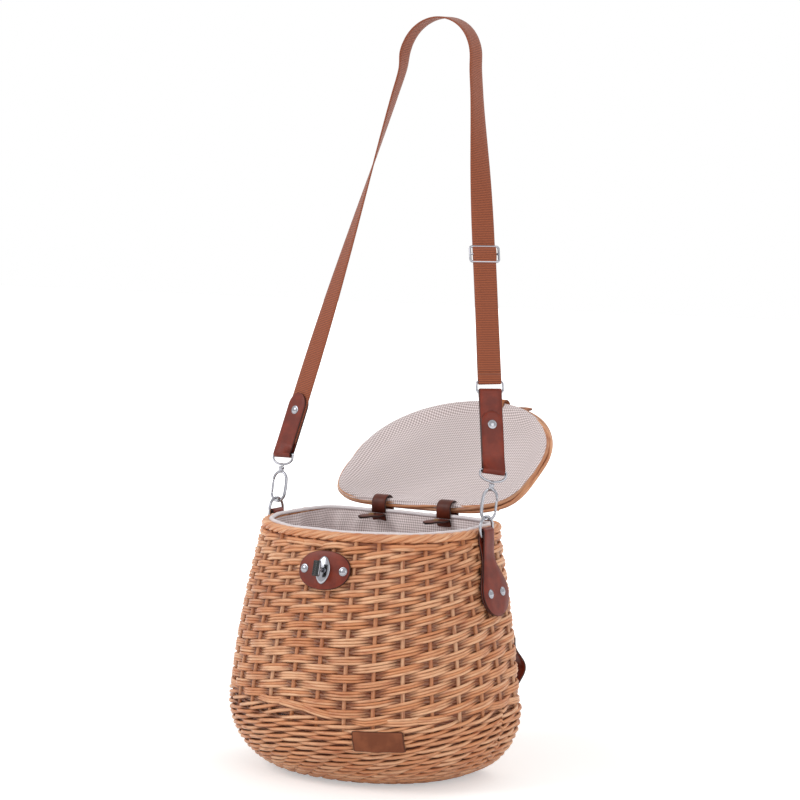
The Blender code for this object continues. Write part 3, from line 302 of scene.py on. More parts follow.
willowRods = makeWillow()
checkedCotton = makeCotton()
biasTape = makeTape()
brownLeather = makeLeather(brownHide)
darkLeather = makeLeather(darkHide)
tanLeather = makeLeather(tanHide)
labelLeather = makeLeather(labelHide)
brownWebbing = makeWebbing()
nickelPlate = makeMetal(nickel)
agedBrass = makeMetal(brass)
blackEnamel = makeEnamel()
print("materials made")


# Mesh helpers

def mix(low, high, share):
    return low + (high - low) * share


def smoothStep(value, low, high):
    share = min(max((value - low) / (high - low), 0.0), 1.0)
    return share * share * (3 - 2 * share)


def at(values, k):
    # One value for a whole path, or a list with a value for each of its points
    return values[k] if isinstance(values, list) else values


def runsOf(path, closed):
    # The direction of a path at each of its points
    runs = []
    for k, spot in enumerate(path):
        ahead = path[(k + 1) % len(path)] if closed or k < len(path) - 1 else spot
        behind = path[k - 1] if closed or k else spot
        runs.append((ahead - behind).normalized())
    return runs


def lengthsOf(path, start=0.0):
    # How far along a path each of its points lies, and last its first point, once round
    lengths = [start]
    for k, spot in enumerate(path):
        lengths.append(lengths[-1] + (path[(k + 1) % len(path)] - spot).length)
    return lengths


def finishPiece(build, name, finish, body, *nodes):
    # A piece with its material, that rides on a body and stands for CAD nodes
    mesh = bpy.data.meshes.new(name)
    build.to_mesh(mesh)
    build.free()
    mesh.materials.append(finish[0])
    mesh.shade_smooth()
    piece = bpy.data.objects.new(name, mesh)
    bpy.context.scene.collection.objects.link(piece)
    if body:
        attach(piece, body)
    if nodes:
        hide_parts(*nodes)
    return piece


def faceWithUv(build, verts, places):
    layer = build.loops.layers.uv.verify()
    face = build.faces.new(verts)
    for loop, spot in zip(face.loops, places):
        loop[layer].uv = spot


def addRing(build, spot, first, second, wide, tall, count):
    return [build.verts.new(spot + first * (math.cos(math.tau * k / count) * wide)
                            + second * (math.sin(math.tau * k / count) * tall)) for k in range(count)]


def joinRings(build, rings, placeOf=None, closed=False):
    # Faces from each ring of corners to the next. placeOf gives the UV of corner n of ring k
    for k in range(len(rings) if closed else len(rings) - 1):
        low = rings[k]
        high = rings[(k + 1) % len(rings)]
        for n in range(len(low)):
            m = (n + 1) % len(low)
            corners = (low[n], low[m], high[m], high[n])
            if placeOf:
                faceWithUv(build, corners, (placeOf(n, k), placeOf(n + 1, k), placeOf(n + 1, k + 1),
                                            placeOf(n, k + 1)))
            else:
                build.faces.new(corners)


def closeEnds(build, rings):
    build.faces.new(rings[0][::-1])
    return build.faces.new(rings[-1])


def addTube(build, path, radius, up, sides=8, closed=False, flat=1.0, shade=None):
    # A rod along a path. UV: round the rod and along it, in metres. The shade is painted shade:
    # how far a place lies back in the weave, and more of it is painted on the rod's underside
    paintedShade = None
    if shade is not None:
        paintedShade = build.verts.layers.float.get("paintedShade") or build.verts.layers.float.new("paintedShade")
    rings = []
    for k, run in enumerate(runsOf(path, closed)):
        lift = at(up, k)
        first = (lift - run * lift.dot(run)).normalized()
        size = at(radius, k)
        rings.append(addRing(build, path[k], first, run.cross(first), size, size * flat, sides))
        if paintedShade:
            for vert in rings[-1]:
                under = smoothStep((path[k].z - vert.co.z) / size, 0.25, 0.95)
                vert[paintedShade] = at(shade, k) + willow["underShade"] * under
    lengths = lengthsOf(path, dice.random() * 3)
    wide = math.tau * at(radius, 0) / sides
    joinRings(build, rings, lambda n, k: (n * wide, lengths[k]), closed)
    if not closed:
        closeEnds(build, rings)


def roundedSection(turn, halfWidth, front, back, frontPower, backPower):
    c = math.cos(turn)
    s = math.sin(turn)
    power = 2 / (backPower if s > 0 else frontPower)
    reach = back if s > 0 else front
    return (math.copysign(abs(c) ** power, c) * halfWidth, math.copysign(abs(s) ** power, s) * reach)


def girthTable(outline, samples=1440):
    places = [outline(math.tau * k / samples) for k in range(samples + 1)]
    lengths = [0.0]
    for a, b in zip(places, places[1:]):
        lengths.append(lengths[-1] + math.dist(a, b))
    return lengths


def turnAt(table, share):
    # The turn at a share of the girth, starting at the right side
    target = (share % 1.0) * table[-1]
    k = min(max(bisect.bisect_right(table, target) - 1, 0), len(table) - 2)
    part = (target - table[k]) / max(table[k + 1] - table[k], 1e-9)
    return math.tau * (k + part) / (len(table) - 1)


# The basket's form: half width, reach to the front and reach to the back of three outlines

basket = {
    "base": (0.085, 0.070, 0.050),
    "belly": (0.153, 0.135, 0.064),
    "rim": (0.121, 0.095, 0.077),
    "frontRoundness": 2.15,
    "backRoundness": 4.4,
    "bellyHeight": 0.070,
    "rimHeight": 0.253,
    "flare": 1.5,
    "bandHeight": 0.0675,
    "bandSideRise": 0.0085,
    "bandLeftRise": 0.0135,
    "bandLeftEdge": (-0.08, 0.03),
    "bandFrontEdge": (-0.06, 0.06),
    "footInset": 0.009,
}


def heightOf(level):
    if level <= 1:
        return basket["bellyHeight"] * (1 - math.cos(level * math.pi / 2))
    return mix(basket["bellyHeight"], basket["rimHeight"], level - 1)


def levelOf(height):
    if height <= basket["bellyHeight"]:
        return math.acos(1 - height / basket["bellyHeight"]) * 2 / math.pi
    return 1 + (height - basket["bellyHeight"]) / (basket["rimHeight"] - basket["bellyHeight"])


def outlineOf(level):
    if level <= 1:
        share = math.sin(level * math.pi / 2)
        return [mix(a, b, share) for a, b in zip(basket["base"], basket["belly"])]
    share = (level - 1) ** basket["flare"]
    return [mix(a, b, share) for a, b in zip(basket["belly"], basket["rim"])]


def surfacePoint(turn, level):
    x, y = roundedSection(turn, *outlineOf(level), basket["frontRoundness"], basket["backRoundness"])
    return Vector((x, y, heightOf(level)))


def surfaceNormal(turn, level):
    step = 0.0005
    around = surfacePoint(turn + step, level) - surfacePoint(turn - step, level)
    low = max(level - step, 0.0)
    up = surfacePoint(turn, low + 2 * step) - surfacePoint(turn, low)
    return around.cross(up).normalized()


def wallPoint(turn, level, depth):
    return surfacePoint(turn, level) - surfaceNormal(turn, level) * depth


girth = girthTable(lambda turn: surfacePoint(turn, 1.0))


# Woven wall: stakes with groups of rods that pass before one stake and behind the next

weave = {
    "stakes": 28,
    "stakeRadius": 0.0022,
    "stakeFoot": 0.012,
    "stakeHead": 0.002,
    "middleDepth": 0.0044,
    "swing": 0.0027,
    "climb": 16 / 28,
    "rodReach": 1.12,
    "overrun": 0.6,
    "riseSpread": (0.94, 1.06),
    "fullness": (0.98, 1.12),
    "stagger": 1.6,
    "jitter": 0.0003,
    "lowRow": (0.0086, 3),
    "highRow": (0.0070, 2),
    "change": 0.56,
    "rowStart": 0.0008,
    "rowEnd": 0.2442,
    "backing": (-0.9, -0.5, 0.0),
    "lastBacking": (-0.5, 0.0, 0.5),
    "backingDepth": 0.0065,
    "backingRadius": 0.0020,
}
wallRoom = weave["rowEnd"] - basket["bandHeight"]
upright = Vector((0, 0, 1))


def bandTop(turn):
    # The foot band stands higher at both sides and on the left half of the front
    x, y, z = surfacePoint(turn, 1.0)
    left = smoothStep(-x, *basket["bandLeftEdge"]) * smoothStep(-y, *basket["bandFrontEdge"])
    return (basket["bandHeight"] + basket["bandSideRise"] * (x / basket["belly"][0]) ** 4
            + basket["bandLeftRise"] * left)


def weaveRows():
    # Each row's middle above the band's lowest place, its pitch and its number of rods. The
    # rows that fit are stretched to fill the wall
    rows = []
    edge = 0.0
    while True:
        pitch, count = weave["lowRow"] if edge < weave["change"] * wallRoom else weave["highRow"]
        if edge + pitch > wallRoom:
            stretch = wallRoom / edge
            return [(height * stretch, pitch * stretch, count) for height, pitch, count in rows]
        rows.append((edge + pitch / 2, pitch, count))
        edge += pitch


def inRow(turn, height, depth):
    # A place in the weave. Rows close up where the band stands higher
    share = height / wallRoom
    return wallPoint(turn, levelOf(mix(bandTop(turn) + weave["rowStart"], weave["rowEnd"], share)), depth)


def addGroup(build, rows, stake, place):
    # Two or three rods side by side that pass before one stake, at a place counted in rows
    row = min(max(int(place), 0), len(rows) - 1)
    height, pitch, count = rows[row]
    height += (place - row - 0.5) * pitch
    lean = dice.uniform(-weave["jitter"], weave["jitter"])
    for rod in range(count):
        size = pitch / count / 2 * dice.uniform(*weave["fullness"])
        rest = height + (rod - (count - 1) / 2) * pitch / count + lean
        rest += dice.uniform(-weave["jitter"], weave["jitter"])
        rise = weave["climb"] * pitch * dice.uniform(*weave["riseSpread"])
        lowest = size * (1 + weave["stagger"] * rod)
        highest = wallRoom - size * (1 + weave["stagger"] * (count - 1 - rod))
        path = []
        shade = []
        for k in range(11):
            t = (k / 10 * 2 - 1) * weave["rodReach"]
            swing = math.cos(math.pi * min(abs(t), 1.0))
            path.append(inRow(turnAt(girth, (stake + t) / weave["stakes"]),
                              min(max(rest + rise * t, lowest), highest),
                              weave["middleDepth"] - weave["swing"] * swing))
            # Painted shade where the rod passes behind a stake
            shade.append(smoothStep(-swing, 0.0, 1.0))
        addTube(build, path, size, upright, shade=shade)


def weaveWall():
    # Every rod climbs as it goes round, by a bit over half a row from stake to stake, and
    # passes over every second stake. After a whole round it has climbed sixteen rows
    build = bmesh.new()
    rows = weaveRows()
    below = round(weave["climb"] * weave["stakes"]) + 1
    for stake in range(weave["stakes"]):
        for line in range(-below, len(rows) + 1):
            place = line + 0.5 + weave["climb"] * stake
            if (line + stake) % 2 == 0 and -weave["overrun"] < place < len(rows) + weave["overrun"]:
                addGroup(build, rows, stake, place)
    # Rings of rods behind them close the weave, all in painted shade, so the gaps between the rods in front
    # show as dark pockets
    turns = [turnAt(girth, k / (weave["stakes"] * 5)) for k in range(weave["stakes"] * 5)]
    for height, pitch, count in rows:
        for step in weave["lastBacking"] if height + pitch > wallRoom else weave["backing"]:
            path = [inRow(turn, height + pitch * step, weave["backingDepth"]) for turn in turns]
            addTube(build, path, weave["backingRadius"], upright, 6, True, shade=1.0)
    finishPiece(build, "wall_rods", willowRods, "basket", "wall_weave")


def setStakes():
    build = bmesh.new()
    for stake in range(weave["stakes"]):
        turn = turnAt(girth, stake / weave["stakes"])
        foot = bandTop(turn) - weave["stakeFoot"]
        levels = [levelOf(mix(foot, weave["rowEnd"] + weave["stakeHead"], k / 14)) for k in range(15)]
        # Painted shade: a share of 0.3 along every stake
        addTube(build, [wallPoint(turn, level, weave["middleDepth"] + weave["jitter"]) for level in levels],
                weave["stakeRadius"], [surfaceNormal(turn, level) for level in levels], shade=0.3)
    finishPiece(build, "wall_stakes", willowRods, "basket")


weaveWall()
setStakes()
print("wall woven")


# Foot band: three rods at a time, each before two stakes and behind the third

wale = {
    "stakes": 34,
    "samples": 6,
    "rounds": 15,
    "depth": 0.0038,
    "swing": 0.0025,
    "largest": 0.00190,
    "fullness": 1.06,
    "overShare": 0.68,
    "advance": 1.4,
    "wander": 0.1,
    "footInset": 0.0035,
    "lowest": 0.015,
    "backingFrom": 6,
    "backingDepth": 0.0063,
    "backingRadius": 0.0019,
}


def onBand(turn, share, depth):
    return wallPoint(turn, levelOf(bandTop(turn)) * share, depth)


def weaveBand():
    build = bmesh.new()
    steps = wale["stakes"] * wale["samples"]
    turns = [turnAt(girth, k / steps) for k in range(steps)]
    sizes = []
    for turn in turns:
        spots = [onBand(turn, k / 8, 0.0) for k in range(9)]
        length = sum((b - a).length for a, b in zip(spots, spots[1:]))
        sizes.append(min(wale["largest"], length / wale["rounds"] / 4 * wale["fullness"]))
    over = wale["overShare"]
    for number in range(wale["rounds"]):
        for rod in range(3):
            path = []
            shade = []
            wander = dice.uniform(-wale["wander"], wale["wander"])
            for k, turn in enumerate(turns):
                phase = ((k / wale["samples"] - rod - number * wale["advance"]) / 3) % 1.0
                climb = phase / over * 2 - 1 if phase < over else 1 - 2 * (phase - over) / (1 - over)
                inside = min(max(math.cos(math.tau * (phase - over / 2)) * 1.3, -1.0), 1.0)
                share = (number + 0.5 + climb * 0.5 + wander) / wale["rounds"]
                share = min(max(share, wale["lowest"]), 1.0)
                foot = wale["footInset"] * (1 - smoothStep(share, 0.0, 0.2))
                path.append(onBand(turn, share, wale["depth"] - wale["swing"] * inside + foot))
                # Painted shade where the rod passes behind a stake
                shade.append(smoothStep(-inside, -0.6, 0.8))
            addTube(build, path, sizes, upright, 7, True, shade=shade)
    # Rings of rods behind the band close it, all in painted shade
    for number in range(wale["backingFrom"], wale["rounds"] * 2):
        share = (number + 1) / wale["rounds"] / 2
        path = [onBand(turn, share, wale["backingDepth"]) for turn in turns[::2]]
        addTube(build, path, wale["backingRadius"], upright, 6, True, shade=1.0)
    for vert in build.verts:
        vert.co.z = max(vert.co.z, 0.0)
    finishPiece(build, "band_rods", willowRods, "basket", "base_band")


weaveBand()
print("band woven")


# Rim: rods rolled round each other, with a cotton tape over the lining's edge

rim = {"strands": 5, "laps": 11, "strandRadius": 0.0019, "twistRadius": 0.0028, "wobble": 0.0,
       "shades": [None] * 5, "centreInset": 0.0044, "centreHeight": 0.2484}
rimTape = {"inset": 0.0100, "height": 0.2523, "radius": 0.0019, "flat": 1.25, "sideways": 0.0004,
           "upDown": 0.0003, "steps": 240}


def rimPoint(share, depth, height):
    turn = turnAt(girth, share)
    level = levelOf(rim["centreHeight"])
    normal = surfaceNormal(turn, level)
    normal.z = 0
    normal.normalize()
    spot = surfacePoint(turn, level) - normal * depth
    spot.z = height
    return spot, normal


def rollRods(build, form, centre, up, steps):
    # Rods twisted round a closed line. centre gives the line's point at a share of its
    # length and the way out from it, and wobble lets the twist run uneven
    for strand in range(form["strands"]):
        path = []
        ups = []
        wander = dice.uniform(0, math.tau) if form["wobble"] else 0.0
        for k in range(steps):
            spot, out = centre(k / steps)
            angle = math.tau * (form["laps"] * k / steps + strand / form["strands"])
            angle += form["wobble"] * math.sin(math.tau * 5 * k / steps + wander)
            reach = out * math.cos(angle) + up * math.sin(angle)
            path.append(spot + reach * form["twistRadius"])
            ups.append(reach)
        addTube(build, path, form["strandRadius"], ups, closed=True, shade=form["shades"][strand])


def rollRim():
    build = bmesh.new()
    rollRods(build, rim, lambda share: rimPoint(share, rim["centreInset"], rim["centreHeight"]), upright, 220)
    finishPiece(build, "rim_rods", willowRods, "basket", "rim_border")
    build = bmesh.new()
    path = []
    for k in range(rimTape["steps"]):
        inset = rimTape["inset"] + rimTape["sideways"] * math.sin(k * 0.37) * math.sin(k * 0.11)
        height = rimTape["height"] + rimTape["upDown"] * math.sin(k * 0.23)
        path.append(rimPoint(k / rimTape["steps"], inset, height)[0])
    addTube(build, path, rimTape["radius"], upright, 10, True, rimTape["flat"])
    finishPiece(build, "rim_bias_tape", biasTape, "basket", "rim_tape")


rollRim()
print("rim rolled")


# Lining: one bag of cloth from the floor to the tape, puckered where it is gathered

liningBag = {"depth": 0.0098, "floor": 0.0098, "floorClear": 0.002, "wallStart": 0.0155, "edge": 0.2512,
             "columns": 260, "rows": 34, "deepFold": 0.0050, "smallFold": 0.0015, "slowFold": 0.0016}


def puckers(share, height):
    # How far the cloth stands in from the wall: deep folds on the left, shallow ones elsewhere
    close = smoothStep(height, 0.06, 0.22) * (1 - smoothStep(height, 0.236, 0.2505))
    left = math.exp(-((share - 0.44) / 0.07) ** 2) + 0.5 * math.exp(-((share - 0.30) / 0.06) ** 2)
    sway = 1.7 * math.sin(math.tau * 3 * share)
    fold = 0.5 + 0.5 * math.sin(math.tau * 23 * share + sway + height * 22)
    slow = 0.5 + 0.5 * math.sin(math.tau * 9 * share + height * 31)
    return close * (liningBag["deepFold"] * left * fold ** 2 + liningBag["smallFold"] * fold
                    + liningBag["slowFold"] * slow)


def sewLining():
    build = bmesh.new()
    columns = liningBag["columns"]
    turns = [turnAt(girth, k / columns) for k in range(columns)]
    sizes = [size - basket["footInset"] - liningBag["floorClear"] for size in basket["base"]]
    powers = (basket["frontRoundness"], basket["backRoundness"])
    oval = [roundedSection(turn, *sizes, *powers) for turn in turns]
    rows = [[Vector((x * share, y * share, liningBag["floor"])) for x, y in oval]
            for share in (0.1, 0.35, 0.6, 0.8, 0.93)]
    start = levelOf(liningBag["wallStart"])
    top = levelOf(liningBag["edge"])
    for n in range(liningBag["rows"]):
        level = mix(start, top, (n / (liningBag["rows"] - 1)) ** 0.9)
        rows.append([wallPoint(turn, level, liningBag["depth"] + puckers(k / columns, heightOf(level)))
                     for k, turn in enumerate(turns)])
    verts = [[build.verts.new(spot) for spot in ring] for ring in rows]
    around = lengthsOf([surfacePoint(turn, 1.4) for turn in turns])
    heights = [0.0]
    for low, high in zip(rows, rows[1:]):
        gaps = [(b - a).length for a, b in zip(low[::13], high[::13])]
        heights.append(heights[-1] + sum(gaps) / len(gaps))
    joinRings(build, verts, lambda n, k: (around[n], heights[k]))
    build.faces.new(verts[0][::-1])
    area = sum(face.calc_area() for face in build.faces)
    cloth = finishPiece(build, "lining_cloth", checkedCotton, "basket", "lining")


sewLining()
print("lining sewn")


# Flat weaving, used for the floor and the lid: ribs one way, floats the other

pointGap = 0.00001  # keeps the points of a rod apart where its end is cut off


def addFloats(build, place, form, row, y, reach):
    # The pairs of rods of one row, each from rib to rib over one rib. The gap is the place
    # either side of the middle where leather loops pass through, its half width, and its start
    gapX, gapHalf, gapStart = form["gap"]
    for rib in range(-form["ribs"], form["ribs"] + 1):
        if (rib + row) % 2 or (abs(rib) - 0.6) * form["spacing"] > reach:
            continue
        for side in (-0.5, 0.5):
            path = []
            offset = side * form["pitch"] / 2 + dice.uniform(-form["jitter"], form["jitter"])
            for k in range(9):
                t = (k / 8 * 2 - 1) * 1.1
                x = min(max((rib + t) * form["spacing"], -reach), reach)
                if y > gapStart and abs(abs(x) - gapX) < gapHalf:
                    away = gapHalf if abs(rib * form["spacing"]) > gapX else -gapHalf
                    x = math.copysign(gapX + away, x)
                lift = form["swing"] * math.cos(math.pi * min(abs(t), 1.0))
                path.append(place(x + pointGap * k, y + offset + form["skew"] * t, lift))
            addTube(build, path, form["rodRadius"] * dice.uniform(0.92, 1.05), Vector((0, 0.3, 1)), 7)


def weaveFlat(build, place, half, low, high, form):
    gapX, gapHalf, gapStart = form["gap"]
    row = 0
    y = low + form["pitch"] * 0.6
    while y < high - form["pitch"] * 0.3:
        addFloats(build, place, form, row, y, half(y))
        row += 1
        y += form["pitch"]
    for rib in range(-form["ribs"], form["ribs"] + 1):
        x = rib * form["spacing"]
        spots = [mix(low, high, k / 30) for k in range(31)]
        spots = [y for y in spots if half(y) > abs(x) and (y < gapStart or abs(abs(x) - gapX) > gapHalf)]
        if len(spots) > 2:
            addTube(build, [place(x, y, 0.0) for y in spots], form["ribRadius"], Vector((1, 0, 0)), 7)


def halfWidthAt(y, sizes, powers):
    reach = sizes[2] if y > 0 else sizes[1]
    power = powers[1] if y > 0 else powers[0]
    return sizes[0] * max(1 - (abs(y) / reach) ** power, 0.0) ** (1 / power)


floorWeave = {"ribs": 6, "spacing": 0.0130, "pitch": 0.0054, "rodRadius": 0.0013, "ribRadius": 0.0017,
              "swing": 0.0020, "jitter": 0.0002, "skew": 0.0005, "gap": (0.0, -1.0, 0.0), "height": 0.0043,
              "clear": 0.0015}


def weaveFloor():
    sizes = [size - basket["footInset"] - floorWeave["clear"] for size in basket["base"]]
    powers = (basket["frontRoundness"], basket["backRoundness"])
    build = bmesh.new()
    weaveFlat(build, lambda x, y, lift: Vector((x, y, floorWeave["height"] - lift)),
              lambda y: halfWidthAt(y, sizes, powers), -sizes[1], sizes[2], floorWeave)
    finishPiece(build, "floor_rods", willowRods, "basket", "base_weave")


weaveFloor()
print("floor woven")


# Lid, drawn closed about its hinge and turned open

lid = {
    "halfWidth": 0.117,
    "front": 0.098,
    "back": 0.080,
    "frontRoundness": 2.05,
    "backRoundness": 4.4,
    "borderRadius": 0.0045,
    "crown": 0.012,
    "openAngle": 147,
    "hinge": (0, 0.0725, 0.2597),
    "weaveHeight": 0.0008,
    "weaveOverlap": 0.0012,
}
lidWeave = {"ribs": 7, "spacing": 0.0158, "pitch": 0.0062, "rodRadius": 0.00150, "ribRadius": 0.0017,
            "swing": 0.0013, "jitter": 0.0002, "skew": 0.0005,
            "gap": (0.040, 0.0100, lid["back"] - lid["borderRadius"] - 0.0098)}
# shades: each strand is darkened by its own share towards the willow's deep colour, and addTube adds painted
# shade below each rod
lidRim = {"strands": 5, "laps": 2, "strandRadius": 0.0019, "twistRadius": 0.0026, "wobble": 0.35,
          "shades": (0.1, 0.5, 0.2, 0.6, 0.35), "steps": 200}
lidSizes = (lid["halfWidth"], lid["front"], lid["back"])
lidPowers = (lid["frontRoundness"], lid["backRoundness"])
lidCentre = lid["borderRadius"] - lid["back"]
lidGirth = girthTable(lambda turn: roundedSection(turn, *lidSizes, *lidPowers))
lidOpen = Matrix.Translation(lid["hinge"]) @ Matrix.Rotation(-math.radians(lid["openAngle"]), 4, "X")


def lidSpot(x, y, z):
    return lidOpen @ Vector((x, y + lidCentre, z))


def crownAt(x, y):
    half = halfWidthAt(y, lidSizes, lidPowers)
    reach = lidSizes[2] if y > 0 else lidSizes[1]
    share = max(abs(x) / max(half, 0.001) * 0.9, abs(y) / reach * 0.9)
    return lid["crown"] * max(1 - share ** 2, 0.0)


def lidRimPoint(share, inset=lid["borderRadius"]):
    return roundedSection(turnAt(lidGirth, share), *[size - inset for size in lidSizes], *lidPowers)


def lidRimCentre(share):
    step = 1 / lidRim["steps"]
    ahead = Vector((*lidRimPoint(share + step), 0))
    behind = Vector((*lidRimPoint(share - step), 0))
    run = (ahead - behind).normalized()
    return lidSpot(*lidRimPoint(share), 0), lidOpen.to_3x3() @ Vector((run.y, -run.x, 0))


def weaveLid():
    inner = [size - 2 * lid["borderRadius"] + lid["weaveOverlap"] for size in lidSizes]
    build = bmesh.new()
    weaveFlat(build, lambda x, y, lift: lidSpot(x, y, lid["weaveHeight"] + crownAt(x, y) + lift),
              lambda y: halfWidthAt(y, inner, lidPowers), -inner[1], inner[2], lidWeave)
    finishPiece(build, "lid_rods", willowRods, "lid", "lid_weave")
    build = bmesh.new()
    rollRods(build, lidRim, lidRimCentre, lidOpen.to_3x3() @ upright, lidRim["steps"])
    finishPiece(build, "lid_rim_rods", willowRods, "lid", "lid_border")


lidCloth = {
    "columns": 160,
    "shares": [0.02] + [0.07 * k for k in range(1, 12)] + [0.83, 0.88, 0.92, 0.95, 0.975, 0.99, 1.0],
    "edge": 0.0016,
    "bareEdge": 0.0062,
    "drop": 0.0040,
    "wave": 0.0012,
    "tuck": 0.0013,
    "turnUp": 0.0030,
    "width": 0.235,
}


def bareAt(x, y):
    # 1 where the cloth leaves the border bare, at the right of the hinge
    right = smoothStep(x, 0.045, 0.10) * smoothStep(-y, -0.03, 0.035) * 0.75
    return max(right, smoothStep(x, 0.03, 0.09) * smoothStep(y, 0.0, 0.05))


def clothLift(x, y, share, bare):
    wave = math.sin(x * 95 + math.sin(y * 70) * 1.2) * math.sin(y * 60 + 0.8)
    near = smoothStep(share, 0.35, 0.8) * (1 - smoothStep(share, 0.85, 0.95))
    lift = crownAt(x, y) * (1 - smoothStep(share, 0.80, 0.95)) * 0.9 - lidCloth["drop"]
    lift -= lidCloth["wave"] * wave * near * (0.5 + 1.5 * smoothStep(y, 0.0, 0.06))
    lift -= lidCloth["tuck"] * smoothStep(share, 0.84, 0.95) * (1 - bare)
    return lift + lidCloth["turnUp"] * smoothStep(share, 0.975, 1.0) * (1 - bare)


def sewLidLining():
    # The cloth is drawn over the border's underside
    build = bmesh.new()
    columns = lidCloth["columns"]
    rings = []
    for share in lidCloth["shares"]:
        ring = []
        for k in range(columns):
            bare = bareAt(*lidRimPoint(k / columns))
            x, y = [size * share for size in lidRimPoint(k / columns, mix(lidCloth["edge"],
                                                                          lidCloth["bareEdge"], bare))]
            ring.append((build.verts.new(lidSpot(x, y, clothLift(x, y, share, bare))),
                         (x, y + 0.0006 * math.sin(x * 60))))
        rings.append(ring)
    for low, high in zip(rings, rings[1:]):
        for k in range(columns):
            m = (k + 1) % columns
            faceWithUv(build, *zip(low[k], high[k], high[m], low[m]))
    build.faces.new([vert for vert, place in rings[0]])
    area = sum(face.calc_area() for face in build.faces)
    cloth = finishPiece(build, "lid_lining_cloth", checkedCotton, "lid", "lid_lining")


weaveLid()
sewLidLining()
print("lid woven and lined")


# Leather and webbing: flat straps with softly rounded edges

def addStrap(build, route, sides, halves, thickness, closed=False):
    # UV: distance from the nearest edge and the place along the strap, in metres
    rings = []
    margins = []
    for k, run in enumerate(runsOf(route, closed)):
        side = at(sides, k)
        side = (side - run * side.dot(run)).normalized()
        face = run.cross(side).normalized() * (thickness / 2)
        half = at(halves, k)
        soft = min(thickness / 2, half * 0.5)
        edge = [(half, 0.0), (half - soft * 0.25, 0.66), (half - soft * 0.9, 1.0), (half * 0.5, 1.0)]
        outline = [(-x, y) for x, y in edge] + [(0.0, 1.0)] + edge[::-1]
        outline += [(x, -y) for x, y in outline[1:-1][::-1]]
        rings.append([build.verts.new(route[k] + side * x + face * y) for x, y in outline])
        margins.append([half - abs(x) for x, y in outline])
    lengths = lengthsOf(route)
    joinRings(build, rings, lambda n, k: (margins[k % len(rings)][n % len(rings[0])], lengths[k]), closed)
    if not closed:
        closeEnds(build, rings)


def arc(centreY, centreZ, radius, start, end, steps):
    points = []
    for k in range(steps + 1):
        turn = math.radians(mix(start, end, k / steps))
        points.append((centreY + math.cos(turn) * radius, centreZ + math.sin(turn) * radius))
    return points


def thread(points, per=4):
    # A smooth line through points, with extra points between them
    line = []
    last = len(points) - 1
    for k in range(last):
        a = points[max(k - 1, 0)]
        b = points[k]
        c = points[k + 1]
        d = points[min(k + 2, last)]
        for n in range(per):
            t = n / per
            line.append(b + (c - a) * (0.5 * t) + (a * 2 - b * 5 + c * 4 - d) * (0.5 * t * t)
                        + (b * 3 - a - c * 3 + d) * (0.5 * t ** 3))
    line.append(points[-1])
    return line


def roundTip(along, half, nose):
    # The half width near a rounded end, at a distance from its tip
    if along >= nose:
        return half
    return half * math.sqrt(max(1 - (1 - along / nose) ** 2, 0.0004))



def addRivet(build, spot, out, radius, height):
    # A domed head with a rolled edge: shares of its radius and of its height
    profile = [(1.0, 0.0), (1.02, 0.12), (0.96, 0.30), (0.86, 0.36), (0.80, 0.34), (0.74, 0.46), (0.5, 0.80),
               (0.25, 0.95)]
    third = out.normalized()
    first = third.orthogonal().normalized()
    second = third.cross(first)
    rings = [addRing(build, spot + third * (height * rise), first, second, radius * reach, radius * reach, 24)
             for reach, rise in profile]
    joinRings(build, rings)
    closeEnds(build, rings)


rivetHeight = 0.0016


def setRivet(name, node, body, spot, out, radius, finish=nickelPlate):
    build = bmesh.new()
    addRivet(build, spot, out, radius, rivetHeight)
    finishPiece(build, name, finish, body, node)


def ovalCorners(wide, tall, power, count):
    return [roundedSection(math.tau * k / count, wide, tall, tall, power, power) for k in range(count)]


# Hinge straps: dark loops round both borders, each with a long rounded tail in the mouth

hinge = {
    "spacing": 0.080,
    "width": 0.017,
    "leather": 0.0022,
    "loopRadius": 0.0067,
    "loopInset": 0.00585,
    "loopDrop": 0.0050,
    "tail": 0.034,
    "tailDrop": 0.0017,
    "tailWave": 0.0006,
    "nose": 0.016,
    "bend": 0.0025,
    "lap": 0.0015,
    "rivet": 0.0036,
    "rivetSeat": 0.0002,
}
loopY = basket["rim"][2] - hinge["loopInset"]


def makeHinge(x, word):
    radius = hinge["loopRadius"] + hinge["leather"] / 2
    innerY = loopY - radius
    tailZ = basket["rimHeight"] - hinge["tailDrop"] - hinge["bend"]
    path = [(innerY - hinge["tail"] * (1 - k / 10), tailZ + hinge["tailWave"] * math.sin(k * 0.6))
            for k in range(10)]
    path += arc(innerY - hinge["bend"], tailZ - hinge["bend"], hinge["bend"], 90, 0, 4)
    path += arc(loopY, basket["rimHeight"] - hinge["loopDrop"], radius, 180, 360, 14)
    path += arc(loopY, lid["hinge"][2], radius, 0, 180, 14)
    path.append((innerY, tailZ + hinge["lap"]))
    route = [Vector((x, y, z)) for y, z in path]
    halves = [roundTip(along, hinge["width"] / 2, hinge["nose"]) for along in lengthsOf(route)[:-1]]
    build = bmesh.new()
    addStrap(build, route, Vector((1, 0, 0)), halves, hinge["leather"])
    finishPiece(build, "hinge_loop_" + word, darkLeather, "basket", "hinge_strap_" + word)
    seat = hinge["leather"] / 2 + hinge["rivetSeat"]
    inner = Vector((x, innerY - hinge["tail"] * 0.4, tailZ + seat))
    outer = Vector((x, loopY + radius + seat, basket["rimHeight"]))
    for place, spot, out in (("inner", inner, upright), ("outer", outer, Vector((0, 1, 0)))):
        setRivet("hinge_rivet_head_%s_%s" % (place, word), "hinge_rivet_%s_%s" % (place, word), "basket",
                 spot, out, hinge["rivet"], agedBrass)


makeHinge(-hinge["spacing"] / 2, "left")
makeHinge(hinge["spacing"] / 2, "right")
print("hinges sewn")


# Hasp: a leather tab round the lid's front border, with a slotted nickel plate

